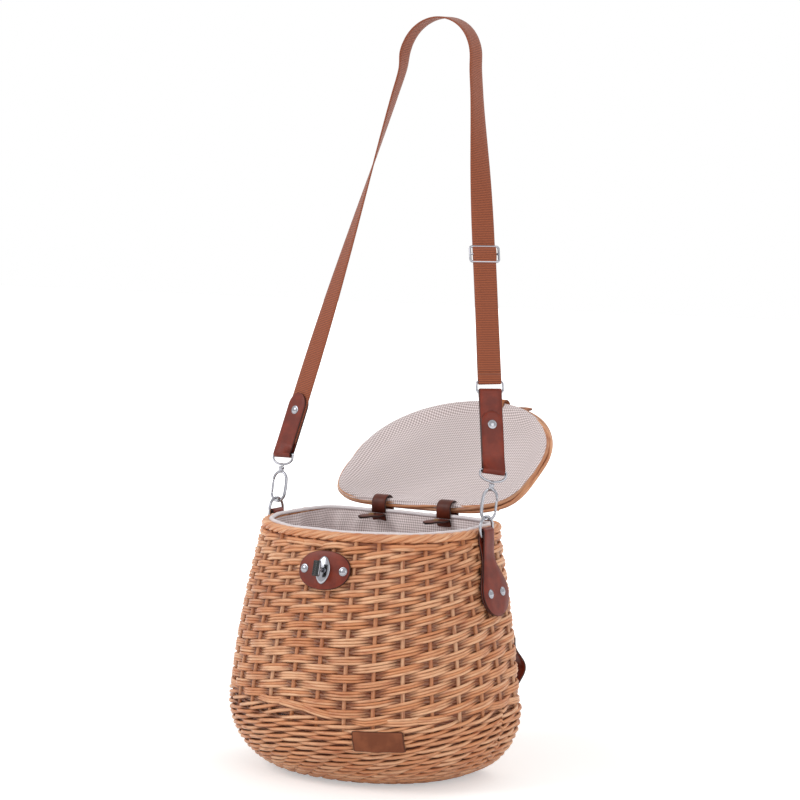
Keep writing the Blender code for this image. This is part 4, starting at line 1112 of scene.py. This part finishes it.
hasp = {
    "x": 0.010,
    "width": 0.028,
    "length": 0.0622,
    "nose": 0.012,
    "leather": 0.0022,
    "play": 0.0014,
    "rest": 33,
    "slot": (0.0095, 0.0180),
    "plateRim": (0.0045, 0.0055),
    "plate": 0.0012,
    "plateProfile": ((0.0, -0.5), (0.0, 0.3), (0.2, 0.6), (0.6, 0.55), (0.95, 0.1), (1.0, -0.5)),
}


def lidBorderY(x):
    share = abs(x) / (lid["halfWidth"] - lid["borderRadius"])
    reach = lid["front"] - lid["borderRadius"]
    return lidCentre - reach * (1 - share ** lid["frontRoundness"]) ** (1 / lid["frontRoundness"])


haspPivotY = sum(lidBorderY(hasp["x"] + hand * hasp["width"] / 2) for hand in (-1, 1)) / 2
haspTurn = Matrix.Rotation(-math.radians(hasp["rest"]), 4, "X")
haspFrame = lidOpen @ Matrix.Translation((hasp["x"], haspPivotY, 0)) @ haspTurn


def cutHole(piece, centre, size, turn):
    # Cuts a slot with rounded ends and takes the cutter away
    build = bmesh.new()
    corners = ovalCorners(size[0] / 2, size[1] / 2, 4, 24)
    ends = [[build.verts.new((x, y, z)) for x, y in corners] for z in (-0.01, 0.01)]
    joinRings(build, ends)
    closeEnds(build, ends)

    mesh = bpy.data.meshes.new("cutter")
    build.to_mesh(mesh)
    build.free()
    cutter = bpy.data.objects.new("cutter", mesh)
    cutter.matrix_world = turn @ Matrix.Translation(centre)
    bpy.context.scene.collection.objects.link(cutter)
    change = piece.modifiers.new("slot", "BOOLEAN")
    change.object = cutter
    change.operation = "DIFFERENCE"
    change.solver = "EXACT"
    bpy.context.view_layer.update()
    graph = bpy.context.evaluated_depsgraph_get()
    mesh = bpy.data.meshes.new_from_object(piece.evaluated_get(graph))
    piece.modifiers.clear()
    piece.data = mesh
    bpy.data.objects.remove(cutter, do_unlink=True)


def makeHasp():
    radius = lid["borderRadius"] + hasp["play"] + hasp["leather"] / 2
    route = [haspFrame @ Vector((0, y, z)) for y, z in arc(0, 0, radius, 150, 450, 20)]
    halves = [hasp["width"] / 2] * len(route)
    for k in range(1, 25):
        y = hasp["length"] * k / 24
        route.append(haspFrame @ Vector((0, -y, radius)))
        halves.append(roundTip(hasp["length"] - y, hasp["width"] / 2, hasp["nose"]))
    build = bmesh.new()
    addStrap(build, route, Vector((1, 0, 0)), halves, hasp["leather"])
    tab = finishPiece(build, "hasp_leather", tanLeather, "hasp", "hasp_tab")
    low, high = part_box("hasp_plate")
    local = haspFrame.inverted() @ ((low + high) / 2)
    cutHole(tab, Vector((0, local.y, radius)), hasp["slot"], haspFrame)
    build = bmesh.new()
    slotHalf = [size / 2 for size in hasp["slot"]]
    inner = ovalCorners(*slotHalf, 5, 40)
    outer = ovalCorners(*[half + edge for half, edge in zip(slotHalf, hasp["plateRim"])], 2, 40)
    rows = []
    for reach, rise in hasp["plateProfile"]:
        ring = [mix(Vector(a), Vector(b), reach) for a, b in zip(inner, outer)]
        rows.append([build.verts.new(haspFrame @ Vector((spot.x, local.y + spot.y,
                                                         local.z + hasp["plate"] * rise))) for spot in ring])
    joinRings(build, rows, closed=True)
    finishPiece(build, "hasp_slot_plate", nickelPlate, "hasp", "hasp_plate")


makeHasp()
print("hasp made")


# Turn lock: a leather oval, a slightly pointed nickel plate and a ribbed black knob

lock = {
    "centre": (0.010, 0.216),
    "size": (0.058, 0.039),
    "leather": 0.0022,
    "power": 2.2,
    "stand": 0.0006,
    "face": 0.0030,
    "plate": (0.0165, 0.0280),
    "platePower": 1.75,
    "plateProfile": ((1.0, 0.0), (1.0, 0.0005), (0.96, 0.0009), (0.8, 0.0013), (0.5, 0.0016), (0.2, 0.0017)),
    "neck": 0.0080,
    "neckRadius": 0.0026,
    "neckFoot": 0.0018,
    "knob": (0.0075, 0.0155, 0.0045),
    "ribs": 7,
    "ribRadius": 0.00170,
    "railRadius": 0.0009,
    "rivet": 0.0045,
    "rivetFace": 0.0029,
    "rivetSpacing": 0.044,
}
label = {"centre": (0.0795, 0.0555), "size": (0.050, 0.0205), "leather": 0.0016, "power": 26.0,
         "stand": 0.0016}
leafProfile = ((0.4, 0.0), (0.8, 0.0), (1.0, 0.1), (1.0, 0.6), (0.985, 0.9), (0.95, 1.0), (0.7, 1.0),
               (0.4, 1.0), (0.1, 1.0))


def turnAtX(x, level, behind=False):
    half = outlineOf(level)[0]
    power = (basket["backRoundness"] if behind else basket["frontRoundness"]) / 2
    turn = math.acos(math.copysign((abs(x) / half) ** power, x))
    return turn if behind else -turn


def onWall(x, height, depth):
    level = levelOf(height)
    return wallPoint(turnAtX(x, level), level, depth)


def leafOnWall(name, node, finish, form):
    # A leather leaf that lies on the wall. Its size is measured along the wall, and its UV
    # gives the distance from its edge
    x, height = form["centre"]
    across = (onWall(x + 0.01, height, 0) - onWall(x - 0.01, height, 0)).length / 0.02
    upward = (onWall(x, height + 0.005, 0) - onWall(x, height - 0.005, 0)).length / 0.01
    wide, tall = [size / 2 for size in form["size"]]
    build = bmesh.new()
    rows = []
    for share, rise in leafProfile:
        stand = form["stand"] + form["leather"] * rise
        rows.append([build.verts.new(onWall(x + a / across, height + b / upward, -stand))
                     for a, b in ovalCorners(wide * share, tall * share, form["power"], 56)])
    edges = [(1 - share) * tall if rise > 0.3 else 0.0 for share, rise in leafProfile]
    joinRings(build, rows, lambda n, k: (edges[k], n * 0.002))
    layer = build.loops.layers.uv.verify()
    for loop in closeEnds(build, rows).loops:
        loop[layer].uv = (0.01, 0.0)
    finishPiece(build, name, finish, "basket", node)


def makeKnob(foot, side, up, out):
    # A grip of short bars over a block, with a rail down each side, on a round neck
    wide, tall, thick = lock["knob"]
    build = bmesh.new()
    addTube(build, [foot, foot + out * (lock["neck"] + 0.001)], lock["neckRadius"], up, 20)
    finishPiece(build, "knob_neck", nickelPlate, "turn_knob")
    head = foot + out * (lock["neck"] - 0.0002)
    build = bmesh.new()
    for k in range(lock["ribs"]):
        spot = head + up * (tall * (k / (lock["ribs"] - 1) - 0.5) * 0.80) + out * (thick * 0.5)
        addTube(build, [spot - side * wide * 0.46, spot + side * wide * 0.46], lock["ribRadius"], out, 14)
    block = bmesh.ops.create_cube(build, size=1.0)["verts"]
    turnIn = Matrix((side, up, out)).transposed().to_4x4()
    stretch = Matrix.Diagonal((wide * 0.92, tall * 0.94, thick * 0.70, 1))
    bmesh.ops.transform(build, matrix=Matrix.Translation(head + out * thick * 0.42) @ turnIn @ stretch,
                        verts=block)
    edges = list({edge for vert in block for edge in vert.link_edges})
    bmesh.ops.bevel(build, geom=edges, offset=0.0007, segments=3, affect="EDGES")
    finishPiece(build, "knob_grip", blackEnamel, "turn_knob", "turn_knob")
    build = bmesh.new()
    for hand in (-1, 1):
        middle = head + side * (hand * wide * 0.40) + out * (thick * 0.55)
        rail = [middle + up * (tall * mix(-0.46, 0.46, k / 6)) for k in range(7)]
        addTube(build, rail, lock["railRadius"], out, 10)
    finishPiece(build, "knob_bracket", nickelPlate, "turn_knob")


def makeLock():
    leafOnWall("lock_leather", "lock_patch", brownLeather, lock)
    level = levelOf(lock["centre"][1])
    turn = turnAtX(lock["centre"][0], level)
    out = surfaceNormal(turn, level)
    up = (upright - out * out.z).normalized()
    side = up.cross(out)
    centre = wallPoint(turn, level, -lock["face"])
    wide, tall = [size / 2 for size in lock["plate"]]
    build = bmesh.new()
    rows = []
    for share, rise in lock["plateProfile"]:
        corners = ovalCorners(wide * share, tall * share, lock["platePower"], 44)
        rows.append([build.verts.new(centre + side * x + up * y + out * rise) for x, y in corners])
    joinRings(build, rows)
    closeEnds(build, rows)
    finishPiece(build, "lock_nickel_plate", nickelPlate, "basket", "lock_plate")
    makeKnob(centre + out * lock["neckFoot"], side, up, out)
    for hand, word in ((-1, "left"), (1, "right")):
        turn = turnAtX(lock["centre"][0] + hand * lock["rivetSpacing"] / 2, level)
        setRivet("lock_rivet_head_" + word, "lock_rivet_" + word, "basket",
                 wallPoint(turn, level, -lock["rivetFace"]), surfaceNormal(turn, level), lock["rivet"])


makeLock()
leafOnWall("label_leather", "label_plate", labelLeather, label)
print("lock and label made")


# Side tabs: polished leather folded over the rings' wire

bothSides = ((1, "right"), (-1, "left"))
metal = {
    "ringRadius": 0.0115,
    "wire": 0.0015,
    "gap": 0.0004,
    "hookWidth": 0.016,
    "hookLoop": 0.030,
    "hookWire": (0.0013, 0.0003),
    "gate": 0.013,
    "gateGap": 0.0003,
    "gateRadius": 0.0012,
    "swivel": 0.0050,
    "collar": ((0.0026, 0.0), (0.0032, 0.0006), (0.0030, 0.0018), (0.0022, 0.0026), (0.0028, 0.0036),
               (0.0031, 0.0050), (0.0026, 0.0060), (0.0018, 0.0063)),
    "eyeWire": 0.0012,
    "eyeDrop": 0.0110,
    "eyeStem": ((0.0026, 0.0), (0.0022, 0.0012), (0.0014, 0.0025)),
    "strapRivet": 0.0045,
}
tab = {
    "y": 0.004,
    "ringX": 0.1285,
    "ringHeight": 0.2545,
    "leather": 0.0022,
    "reach": (0.0868, 0.0140),
    "bulge": (0.052, 0.014),
    "discHeight": 0.1905,
    "discRadius": 0.023,
    "neck": 0.0094,
    "neckDrop": 0.025,
    "foldHalf": 0.0092,
    "rivet": 0.0045,
}


def tabHalf(height):
    if height <= tab["discHeight"]:
        drop = (tab["discHeight"] - height) / tab["discRadius"]
        return tab["discRadius"] * math.sqrt(max(1 - drop ** 2, 0.0025))
    share = smoothStep(height, tab["discHeight"], tab["ringHeight"] - tab["neckDrop"])
    return mix(tab["discRadius"], tab["neck"], share)


def makeSideTab(hand, word):
    fold = metal["wire"] + metal["gap"] + tab["leather"] / 2
    inner = []
    outer = []
    for k in range(27):
        height = tab["ringHeight"] - mix(*tab["reach"], k / 26)
        wallX = outlineOf(levelOf(height))[0]
        near = max(wallX + metal["gap"] + tab["leather"] / 2, tab["ringX"] - fold)
        rise = smoothStep(height, *[tab["ringHeight"] - drop for drop in tab["bulge"]])
        inner.append((near, height))
        outer.append((mix(near + tab["leather"] + metal["gap"], tab["ringX"] + fold, rise), height))
    bend = arc(tab["ringX"], tab["ringHeight"] - fold - metal["gap"], fold, 180, 0, 12)
    halves = [tabHalf(height) for x, height in inner]
    halves += [tab["foldHalf"]] * len(bend) + halves[::-1]
    route = [Vector((hand * x, tab["y"], z)) for x, z in inner + bend + outer[::-1]]
    build = bmesh.new()
    addStrap(build, route, Vector((0, 1, 0)), halves, tab["leather"])
    finishPiece(build, "side_tab_leather_" + word, brownLeather, "basket", "side_tab_" + word)
    run = Vector((outer[10][0] - outer[6][0], 0, outer[10][1] - outer[6][1])).normalized()
    for end in ("front", "back"):
        low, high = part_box("tab_rivet_%s_%s" % (word, end))
        spot = (low + high) / 2
        spot.x = hand * (outer[8][0] + tab["leather"] / 2)
        setRivet("tab_rivet_head_%s_%s" % (word, end), "tab_rivet_%s_%s" % (word, end), "basket", spot,
                 Vector((hand * run.z, 0, -run.x)), tab["rivet"])


for hand, word in bothSides:
    makeSideTab(hand, word)
print("side tabs made")


# Back straps: short carrying loops on the corners of the back wall

backStrap = {"x": 0.121, "low": 0.067, "high": 0.142, "bulge": 0.014, "width": 0.020, "nose": 0.007,
             "leather": 0.0022, "wallGap": 0.0004, "bandStand": 0.0006, "sewn": 0.16, "stud": 0.0042,
             "studStep": 3, "steps": 40}


def makeBackStrap(hand, word):
    route = []
    sides = []
    steps = backStrap["steps"]
    sewn = backStrap["sewn"]
    for k in range(steps + 1):
        share = k / steps
        level = levelOf(mix(backStrap["low"], backStrap["high"], share))
        turn = turnAtX(hand * backStrap["x"], level, True)
        free = min(max((share - sewn) / (1 - 2 * sewn), 0.0), 1.0)
        stand = backStrap["wallGap"] + backStrap["leather"] / 2
        stand += backStrap["bulge"] * math.sin(math.pi * free) ** 2
        stand += backStrap["bandStand"] * smoothStep(sewn - share, 0.0, 0.1)
        route.append(wallPoint(turn, level, -stand))
        normal = surfaceNormal(turn, level)
        sides.append(Vector((-normal.y, normal.x, 0)))
    length = backStrap["high"] - backStrap["low"]
    halves = [roundTip(min(k, steps - k) / steps * length + 0.0003, backStrap["width"] / 2, backStrap["nose"])
              for k in range(steps + 1)]
    build = bmesh.new()
    addStrap(build, route, sides, halves, backStrap["leather"])
    finishPiece(build, "back_strap_leather_" + word, brownLeather, "basket", "back_strap_" + word)
    for k, end in ((backStrap["studStep"], "low"), (steps - backStrap["studStep"], "high")):
        run = (route[k + 1] - route[k - 1]).normalized()
        out = run.cross(sides[k]).normalized()
        if out.y < 0:
            out = -out
        setRivet("back_stud_head_%s_%s" % (word, end), "back_stud_%s_%s" % (word, end), "basket",
                 route[k] + out * (backStrap["leather"] / 2), out, backStrap["stud"])


for hand, word in bothSides:
    makeBackStrap(hand, word)
print("back straps made")


# Strap metal: rings, snap hooks, swivel eyes. The strap's sizes set where it hangs

strap = {
    "lean": 13.4,
    "endWidth": 0.0232,
    "width": 0.0234,
    "thickness": 0.0016,
    "leather": 0.0022,
    "archHalf": 0.045,
    "archFoot": (0.115, 0.708),
    "archTop": (0.122, 0.762),
    "turns": {1: 45, -1: 173.5},
    "archTurn": 91,
    "rightEnd": 0.080,
    "leftEnd": 0.066,
    "leftNose": 0.014,
    "rightNose": 0.013,
    "leftRivet": 0.72,
    "rightRivet": 0.58,
    "rightLoop": (0.16, 0.86),
    "leafTip": 0.76,
    "leafLift": (-0.0008, 0.0013),
    "sliderAt": 0.222,
    "hem": 0.008,
    "link": (0.029, 0.013),
    "linkWire": 0.0011,
    "slider": (0.032, 0.018),
    "sliderWire": 0.0012,
    "hump": (0.0088, 0.0024, 0.0004),
    "corner": 0.0022,
}
lean = math.radians(strap["lean"])
leaning = Vector((0, math.sin(lean), math.cos(lean)))
hookFoot = metal["ringRadius"] - 2 * metal["wire"] - metal["gap"]
hookTop = hookFoot + metal["hookLoop"]
eyeFoot = hookTop + metal["wire"] + metal["swivel"] + metal["gap"]
eyeBar = eyeFoot + metal["eyeStem"][-1][1] - metal["eyeWire"] + metal["eyeDrop"]


def ringCentre(hand):
    return Vector((hand * tab["ringX"], tab["y"], tab["ringHeight"]))


def levelSide(degrees, run):
    side = Vector((math.cos(math.radians(degrees)), math.sin(math.radians(degrees)), 0))
    return (side - run * side.dot(run)).normalized()


def eyeSide(hand):
    return levelSide(strap["turns"][hand], leaning)


def legStart(hand):
    return ringCentre(hand) + leaning * eyeBar


def legEnd(hand):
    return Vector((hand * strap["archHalf"], *strap["archFoot"]))


def legFrame(hand):
    # The run of one leg of the strap, its side and the way out from its face
    run = (legEnd(hand) - legStart(hand)).normalized()
    side = levelSide(strap["turns"][hand], run)
    out = run.cross(side)
    return run, side, out if out.y < 0 else -out


def makeRing(hand, word):
    centre = ringCentre(hand)
    turns = [math.tau * k / 48 for k in range(48)]
    path = [centre + Vector((0, math.cos(turn), math.sin(turn))) * metal["ringRadius"] for turn in turns]
    build = bmesh.new()
    addTube(build, path, metal["wire"], Vector((1, 0, 0)), 14, True)
    finishPiece(build, "ring_wire_" + word, nickelPlate, "strap", "ring_" + word)


def hookOutline(low, high, gateLow, gateHigh):
    # From above the gate over the top, down the back, round the foot and up to the gate
    wide = metal["hookWidth"] / 2
    outline = [(wide, gateHigh + metal["gateGap"]), (wide, gateHigh + 0.002)]
    for k in range(1, 16):
        turn = math.pi * k / 16
        outline.append((math.cos(turn) * wide, high + math.sin(turn) * (wide + 0.0006)))
    for k in range(7):
        outline.append((-wide - 0.0004 * math.sin(math.pi * k / 6), mix(high, low, k / 6)))
    for k in range(1, 17):
        turn = math.pi * (1 + k / 16)
        outline.append((math.cos(turn) * wide, low + math.sin(turn) * wide))
    return outline + [(wide, gateLow - metal["gateGap"])]


def makeHook(hand, word):
    centre = ringCentre(hand)
    across = Vector((hand, 0, 0))
    wide = metal["hookWidth"] / 2
    low = hookFoot + wide
    high = hookTop - wide
    gateLow = (low + high - metal["gate"]) / 2
    gateHigh = gateLow + metal["gate"]
    path = [centre + across * x + leaning * y for x, y in hookOutline(low, high, gateLow, gateHigh)]
    thin, swell = metal["hookWire"]
    sizes = [thin + swell * math.sin(math.pi * k / (len(path) - 1)) for k in range(len(path))]
    first = Vector((1, 0, 0))
    second = leaning.cross(first)
    build = bmesh.new()
    addTube(build, path, sizes, leaning.cross(across), 12)
    rings = [addRing(build, centre + leaning * (hookTop + rise), first, second, size, size, 20)
             for size, rise in metal["collar"]]
    joinRings(build, rings)
    closeEnds(build, rings)
    finishPiece(build, "hook_wire_" + word, nickelPlate, "hook_" + word, "hook_" + word)
    build = bmesh.new()
    path = [centre + across * wide + leaning * mix(gateLow, gateHigh, k / 4) for k in range(5)]
    ends = metal["gateRadius"] - 0.0002
    addTube(build, path, [ends] + [metal["gateRadius"]] * 3 + [ends], first, 12)
    finishPiece(build, "gate_pin_" + word, nickelPlate, "gate_" + word, "gate_" + word)


def makeEye(hand, word):
    centre = ringCentre(hand)
    side = eyeSide(hand)
    half = strap["endWidth"] / 2 + metal["gap"] + metal["eyeWire"]
    straight = metal["eyeWire"] + strap["leather"] + 2 * metal["gap"]
    outline = [(mix(half, -half, k / 8), 0.0) for k in range(1, 8)]
    outline += [(-half, -straight * k / 4) for k in range(0, 4)]
    for k in range(21):
        turn = math.pi * (1 + k / 20)
        outline.append((math.cos(turn) * half, -straight + math.sin(turn) * (metal["eyeDrop"] - straight)))
    outline += [(half, -straight * (1 - k / 4)) for k in range(1, 5)]
    path = [centre + side * x + leaning * (eyeBar + y) for x, y in outline]
    build = bmesh.new()
    addTube(build, path, metal["eyeWire"], side.cross(leaning), 12, True)
    stem = [centre + leaning * (eyeFoot + rise) for size, rise in metal["eyeStem"]]
    addTube(build, stem, [size for size, rise in metal["eyeStem"]], side, 16)
    finishPiece(build, "eye_wire_" + word, nickelPlate, "strap", "swivel_eye_" + word)


for hand, word in bothSides:
    makeRing(hand, word)
    makeHook(hand, word)
    makeEye(hand, word)
print("strap metal made")


# Strap ends: leather folded round the swivel eyes

def sideAt(hand, along):
    squared = legFrame(hand)[1]
    return mix(eyeSide(hand), squared, smoothStep(along, 0.0, 0.03)).normalized()


def foldRound(bar, run, out, radius, start, end, steps=14):
    return [bar + run * y + out * z for y, z in arc(0, 0, radius, start, end, steps)]


def foldRoundEye(hand, radius):
    along = eyeSide(hand)
    run, side, out = legFrame(hand)
    run = (run - along * run.dot(along)).normalized()
    out = (out - along * out.dot(along)).normalized()
    return foldRound(legStart(hand), run, out, radius, 60, 300)


def makeStrapEndLeft():
    run, side, out = legFrame(-1)
    bar = legStart(-1)
    half = strap["endWidth"] / 2
    lay = strap["thickness"] / 2 + metal["gap"] + strap["leather"] / 2
    length = strap["leftEnd"]
    spots = [length * (1 - (k / 16) ** 1.5 * 0.82) for k in range(17)]
    bend = foldRoundEye(-1, metal["eyeWire"] + metal["gap"] + strap["leather"] / 2)
    route = [bar + run * along + out * lay for along in spots] + bend
    route += [bar + run * along - out * lay for along in spots[::-1]]
    halves = [roundTip(length - along, half, strap["leftNose"]) for along in spots]
    halves += [half] * len(bend) + halves[::-1]
    sides = [sideAt(-1, along) for along in spots]
    sides += [eyeSide(-1)] * len(bend) + sides[::-1]
    build = bmesh.new()
    addStrap(build, route, sides, halves, strap["leather"])
    finishPiece(build, "strap_end_leather_left", brownLeather, "strap", "strap_end_left")
    spot = bar + run * (length * strap["leftRivet"]) + out * (lay + strap["leather"] / 2)
    setRivet("strap_rivet_head_left", "strap_rivet_left", "strap", spot, out, metal["strapRivet"])


def makeStrapEndRight():
    # A loop through the eye and the rectangular ring, with a rounded leaf sewn over it
    run, side, out = legFrame(1)
    bar = legStart(1)
    fold = metal["eyeWire"] + metal["gap"] + strap["leather"] / 2
    lay = metal["gap"] / 2 + strap["leather"] / 2
    length = strap["rightEnd"]
    spots = [length * mix(*strap["rightLoop"], k / 14) for k in range(15)]
    top = foldRound(bar + run * length, run, out, fold, -120, 120)
    bend = foldRoundEye(1, fold)
    route = [bar + run * along - out * lay for along in spots] + top
    route += [bar + run * along + out * lay for along in spots[::-1]] + bend
    sides = [sideAt(1, along) for along in spots]
    sides = sides + [side] * len(top) + sides[::-1] + [eyeSide(1)] * len(bend)
    build = bmesh.new()
    addStrap(build, route, sides, strap["endWidth"] / 2, strap["leather"], True)
    tip = length * strap["leafTip"]
    leaf = [tip * k / 20 for k in range(3, 21)]
    route = [bar + run * along + out * (lay + mix(*strap["leafLift"], smoothStep(along, 0.006, 0.026)))
             for along in leaf]
    halves = [roundTip(tip - along, strap["endWidth"] / 2 - 0.0002, strap["rightNose"]) for along in leaf]
    addStrap(build, route, [sideAt(1, along) for along in leaf], halves, strap["leather"] * 0.9)
    finishPiece(build, "strap_end_leather_right", brownLeather, "strap", "strap_end_right")
    face = lay + strap["leafLift"][1] + strap["leather"] * 0.45
    spot = bar + run * (length * strap["rightRivet"]) + out * face
    setRivet("strap_rivet_head_right", "strap_rivet_right", "strap", spot, out, metal["strapRivet"])


makeStrapEndLeft()
makeStrapEndRight()
print("strap ends made")


# Webbing: a long band that twists up both legs and bends over at the top

ringTopBar = strap["rightEnd"] + strap["link"][1] - 2 * strap["linkWire"]
webbingFold = strap["linkWire"] + metal["gap"] + strap["thickness"] / 2


def webbingRoute():
    # The band's middle line and the way its width points, in degrees: up the left leg,
    # over the arch and down the right leg to the rectangular ring
    route = []
    turns = []
    run, side, out = legFrame(-1)
    length = (legEnd(-1) - legStart(-1)).length
    for k in range(15):
        along = mix(0.014, length, k / 14)
        route.append(legStart(-1) + run * along)
        turns.append(mix(strap["turns"][-1], 100, smoothStep(along, strap["leftEnd"], length * 1.12)))
    for k in range(1, 12):
        angle = math.pi * k / 12
        rise = math.sin(angle) ** 0.8
        y, z = [mix(foot, top, rise) for foot, top in zip(strap["archFoot"], strap["archTop"])]
        route.append(Vector((-strap["archHalf"] * math.cos(angle), y, z)))
        turns.append(mix(97, 90, k / 12))
    run, side, out = legFrame(1)
    length = (legEnd(1) - legStart(1)).length
    for k in range(13):
        along = mix(length, ringTopBar, k / 12)
        route.append(legStart(1) + run * along - out * (webbingFold * smoothStep(k, 9, 12)))
        turns.append(mix(strap["turns"][1], strap["archTurn"],
                         smoothStep(along, strap["sliderAt"] + 0.01, length * 0.97)))
    return route, turns


def makeWebbingBand():
    route, turns = webbingRoute()
    run, side, out = legFrame(1)
    bar = legStart(1) + run * ringTopBar
    line = thread(route, 6)
    fine = [turn.x for turn in thread([Vector((turn, 0, 0)) for turn in turns], 6)]
    line += foldRound(bar, run, out, webbingFold, 255, 90, 8)
    line += [bar + run * (strap["hem"] * share) + out * webbingFold for share in (0.5, 1.0)]
    fine += [strap["turns"][1]] * (len(line) - len(fine))
    sides = [Vector((math.cos(math.radians(turn)), math.sin(math.radians(turn)), 0)) for turn in fine]
    build = bmesh.new()
    addStrap(build, line, sides, strap["width"] / 2, strap["thickness"])
    finishPiece(build, "webbing_band", brownWebbing, "strap", "webbing")


def addWireLink(build, centre, size, radius):
    # A closed rectangle of wire with rounded corners, in the plane of the right leg
    run, side, out = legFrame(1)
    wide, tall = [length / 2 - strap["corner"] - radius for length in size]
    path = []
    for first, second, start in ((1, 1, 0), (-1, 1, 90), (-1, -1, 180), (1, -1, 270)):
        for x, y in arc(first * wide, second * tall, strap["corner"], start, start + 90, 6):
            path.append(centre + side * x + run * y)
    addTube(build, path, radius, out, 12, True)


def makeAdjuster():
    run, side, out = legFrame(1)
    start = legStart(1)
    build = bmesh.new()
    addWireLink(build, start + run * ((strap["rightEnd"] + ringTopBar) / 2), strap["link"], strap["linkWire"])
    finishPiece(build, "link_wire", nickelPlate, "strap", "rect_ring")
    wire = strap["sliderWire"]
    place = start + run * strap["sliderAt"] + out * (strap["thickness"] / 2 + metal["gap"] + wire)
    build = bmesh.new()
    addWireLink(build, place, strap["slider"], wire)
    half = strap["slider"][0] / 2 - wire
    addTube(build, [place + side * half, place - side * half], wire * 0.9, out, 12)
    finishPiece(build, "slider_wire", nickelPlate, "slider", "slider")
    # The webbing's short hump over the slider's middle bar
    reach, top, sink = strap["hump"]
    build = bmesh.new()
    loop = []
    for k in range(17):
        share = mix(-1, 1, k / 16)
        rise = top * math.cos(share * math.pi * 0.5) ** 0.7 - sink
        loop.append(place + run * (reach * share) + out * rise)
    addStrap(build, loop, side, strap["width"] / 2 + 0.0004, strap["thickness"] * 0.8)
    finishPiece(build, "slider_band", brownWebbing, "slider")


def makeWebbingFront():
    run, side, out = legFrame(1)
    start = legStart(1)
    low = start + run * (ringTopBar + strap["hem"] + metal["gap"]) + out * webbingFold
    high = start + run * (strap["sliderAt"] - strap["slider"][1] / 2 + 0.001) + out * webbingFold
    build = bmesh.new()
    addStrap(build, [mix(low, high, k / 30) for k in range(31)], side, strap["width"] / 2, strap["thickness"])
    tail = finishPiece(build, "webbing_front", brownWebbing, None, "webbing_tail")
    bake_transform(tail)


makeWebbingBand()
makeAdjuster()
makeWebbingFront()
print("webbing made")


# Studio: pale floor and backdrop, large soft lamps

studio = {
    "floor": "#F4F3F1",
    "floorRoughness": 0.9,
    "floorHalf": 6.0,
    "floorDrop": 0.0005,
    "glow": (0.42, 1.0),
    "glowReach": (0.25, 1.1),
    "sky": 0.55,
    "aim": (0, 0, 0.25),
    "lamps": (("key", (-1.5, -1.9, 1.9), 1.4, 26.0), ("fill", (1.9, -1.2, 1.0), 1.6, 12.0),
              ("rim", (0.6, 2.0, 2.0), 1.4, 10.0)),
}


def seenDirectly(tree):
    # 1 for what the camera sees straight, in a mirror or through glass: the white background
    seen = addNode(tree, "LightPath", output="Is Camera Ray")
    for ray in ("Is Glossy Ray", "Is Transmission Ray"):
        other = addNode(tree, "LightPath", output=ray)
        seen = addNode(tree, "Math", {0: seen, 1: other}, operation="MAXIMUM")
    return seen


def layFloor():
    # Paper with a glow that only the camera and mirrors see, stronger further off
    material, tree, solid, uv = startMaterial("pale paper sweep")
    far = addNode(tree, "VectorMath", {0: solid}, "Value", operation="LENGTH")
    near, distant = studio["glowReach"]
    glow = addNode(tree, "MapRange", {"Value": far, "From Min": near, "From Max": distant,
                                      "To Min": studio["glow"][0], "To Max": studio["glow"][1]})
    light = addNode(tree, "Math", {0: seenDirectly(tree), 1: glow}, operation="MULTIPLY")
    feed(tree, tree.nodes["Principled BSDF"], {"Base Color": linear(studio["floor"]),
                                               "Roughness": studio["floorRoughness"],
                                               "Emission Color": (1, 1, 1, 1), "Emission Strength": light})
    build = bmesh.new()
    half = studio["floorHalf"]
    build.faces.new([build.verts.new((x * half, y * half, -studio["floorDrop"]))
                     for x, y in ((-1, -1), (1, -1), (1, 1), (-1, 1))])
    mesh = bpy.data.meshes.new("studio_floor")
    build.to_mesh(mesh)
    build.free()
    mesh.materials.append(material)
    floor = bpy.data.objects.new("studio_floor", mesh)
    bpy.context.scene.collection.objects.link(floor)


def lightStudio():
    world = bpy.data.worlds.new("studio_world")
    world.use_nodes = True
    tree = world.node_tree
    seen = seenDirectly(tree)
    strength = addNode(tree, "MapRange", {"Value": seen, "To Min": studio["sky"], "To Max": 1.0})
    feed(tree, tree.nodes["Background"], {"Strength": strength, "Color": (1, 1, 1, 1)})
    bpy.context.scene.world = world
    for name, place, size, power in studio["lamps"]:
        lamp = bpy.data.lights.new(name, "AREA")
        lamp.energy = power
        lamp.size = size
        thing = bpy.data.objects.new(name, lamp)
        thing.location = place
        thing.rotation_euler = (Vector(studio["aim"]) - Vector(place)).to_track_quat("-Z", "Y").to_euler()
        bpy.context.scene.collection.objects.link(thing)
    bpy.context.scene.view_settings.view_transform = "Standard"


layFloor()
lightStudio()
print("studio lit")
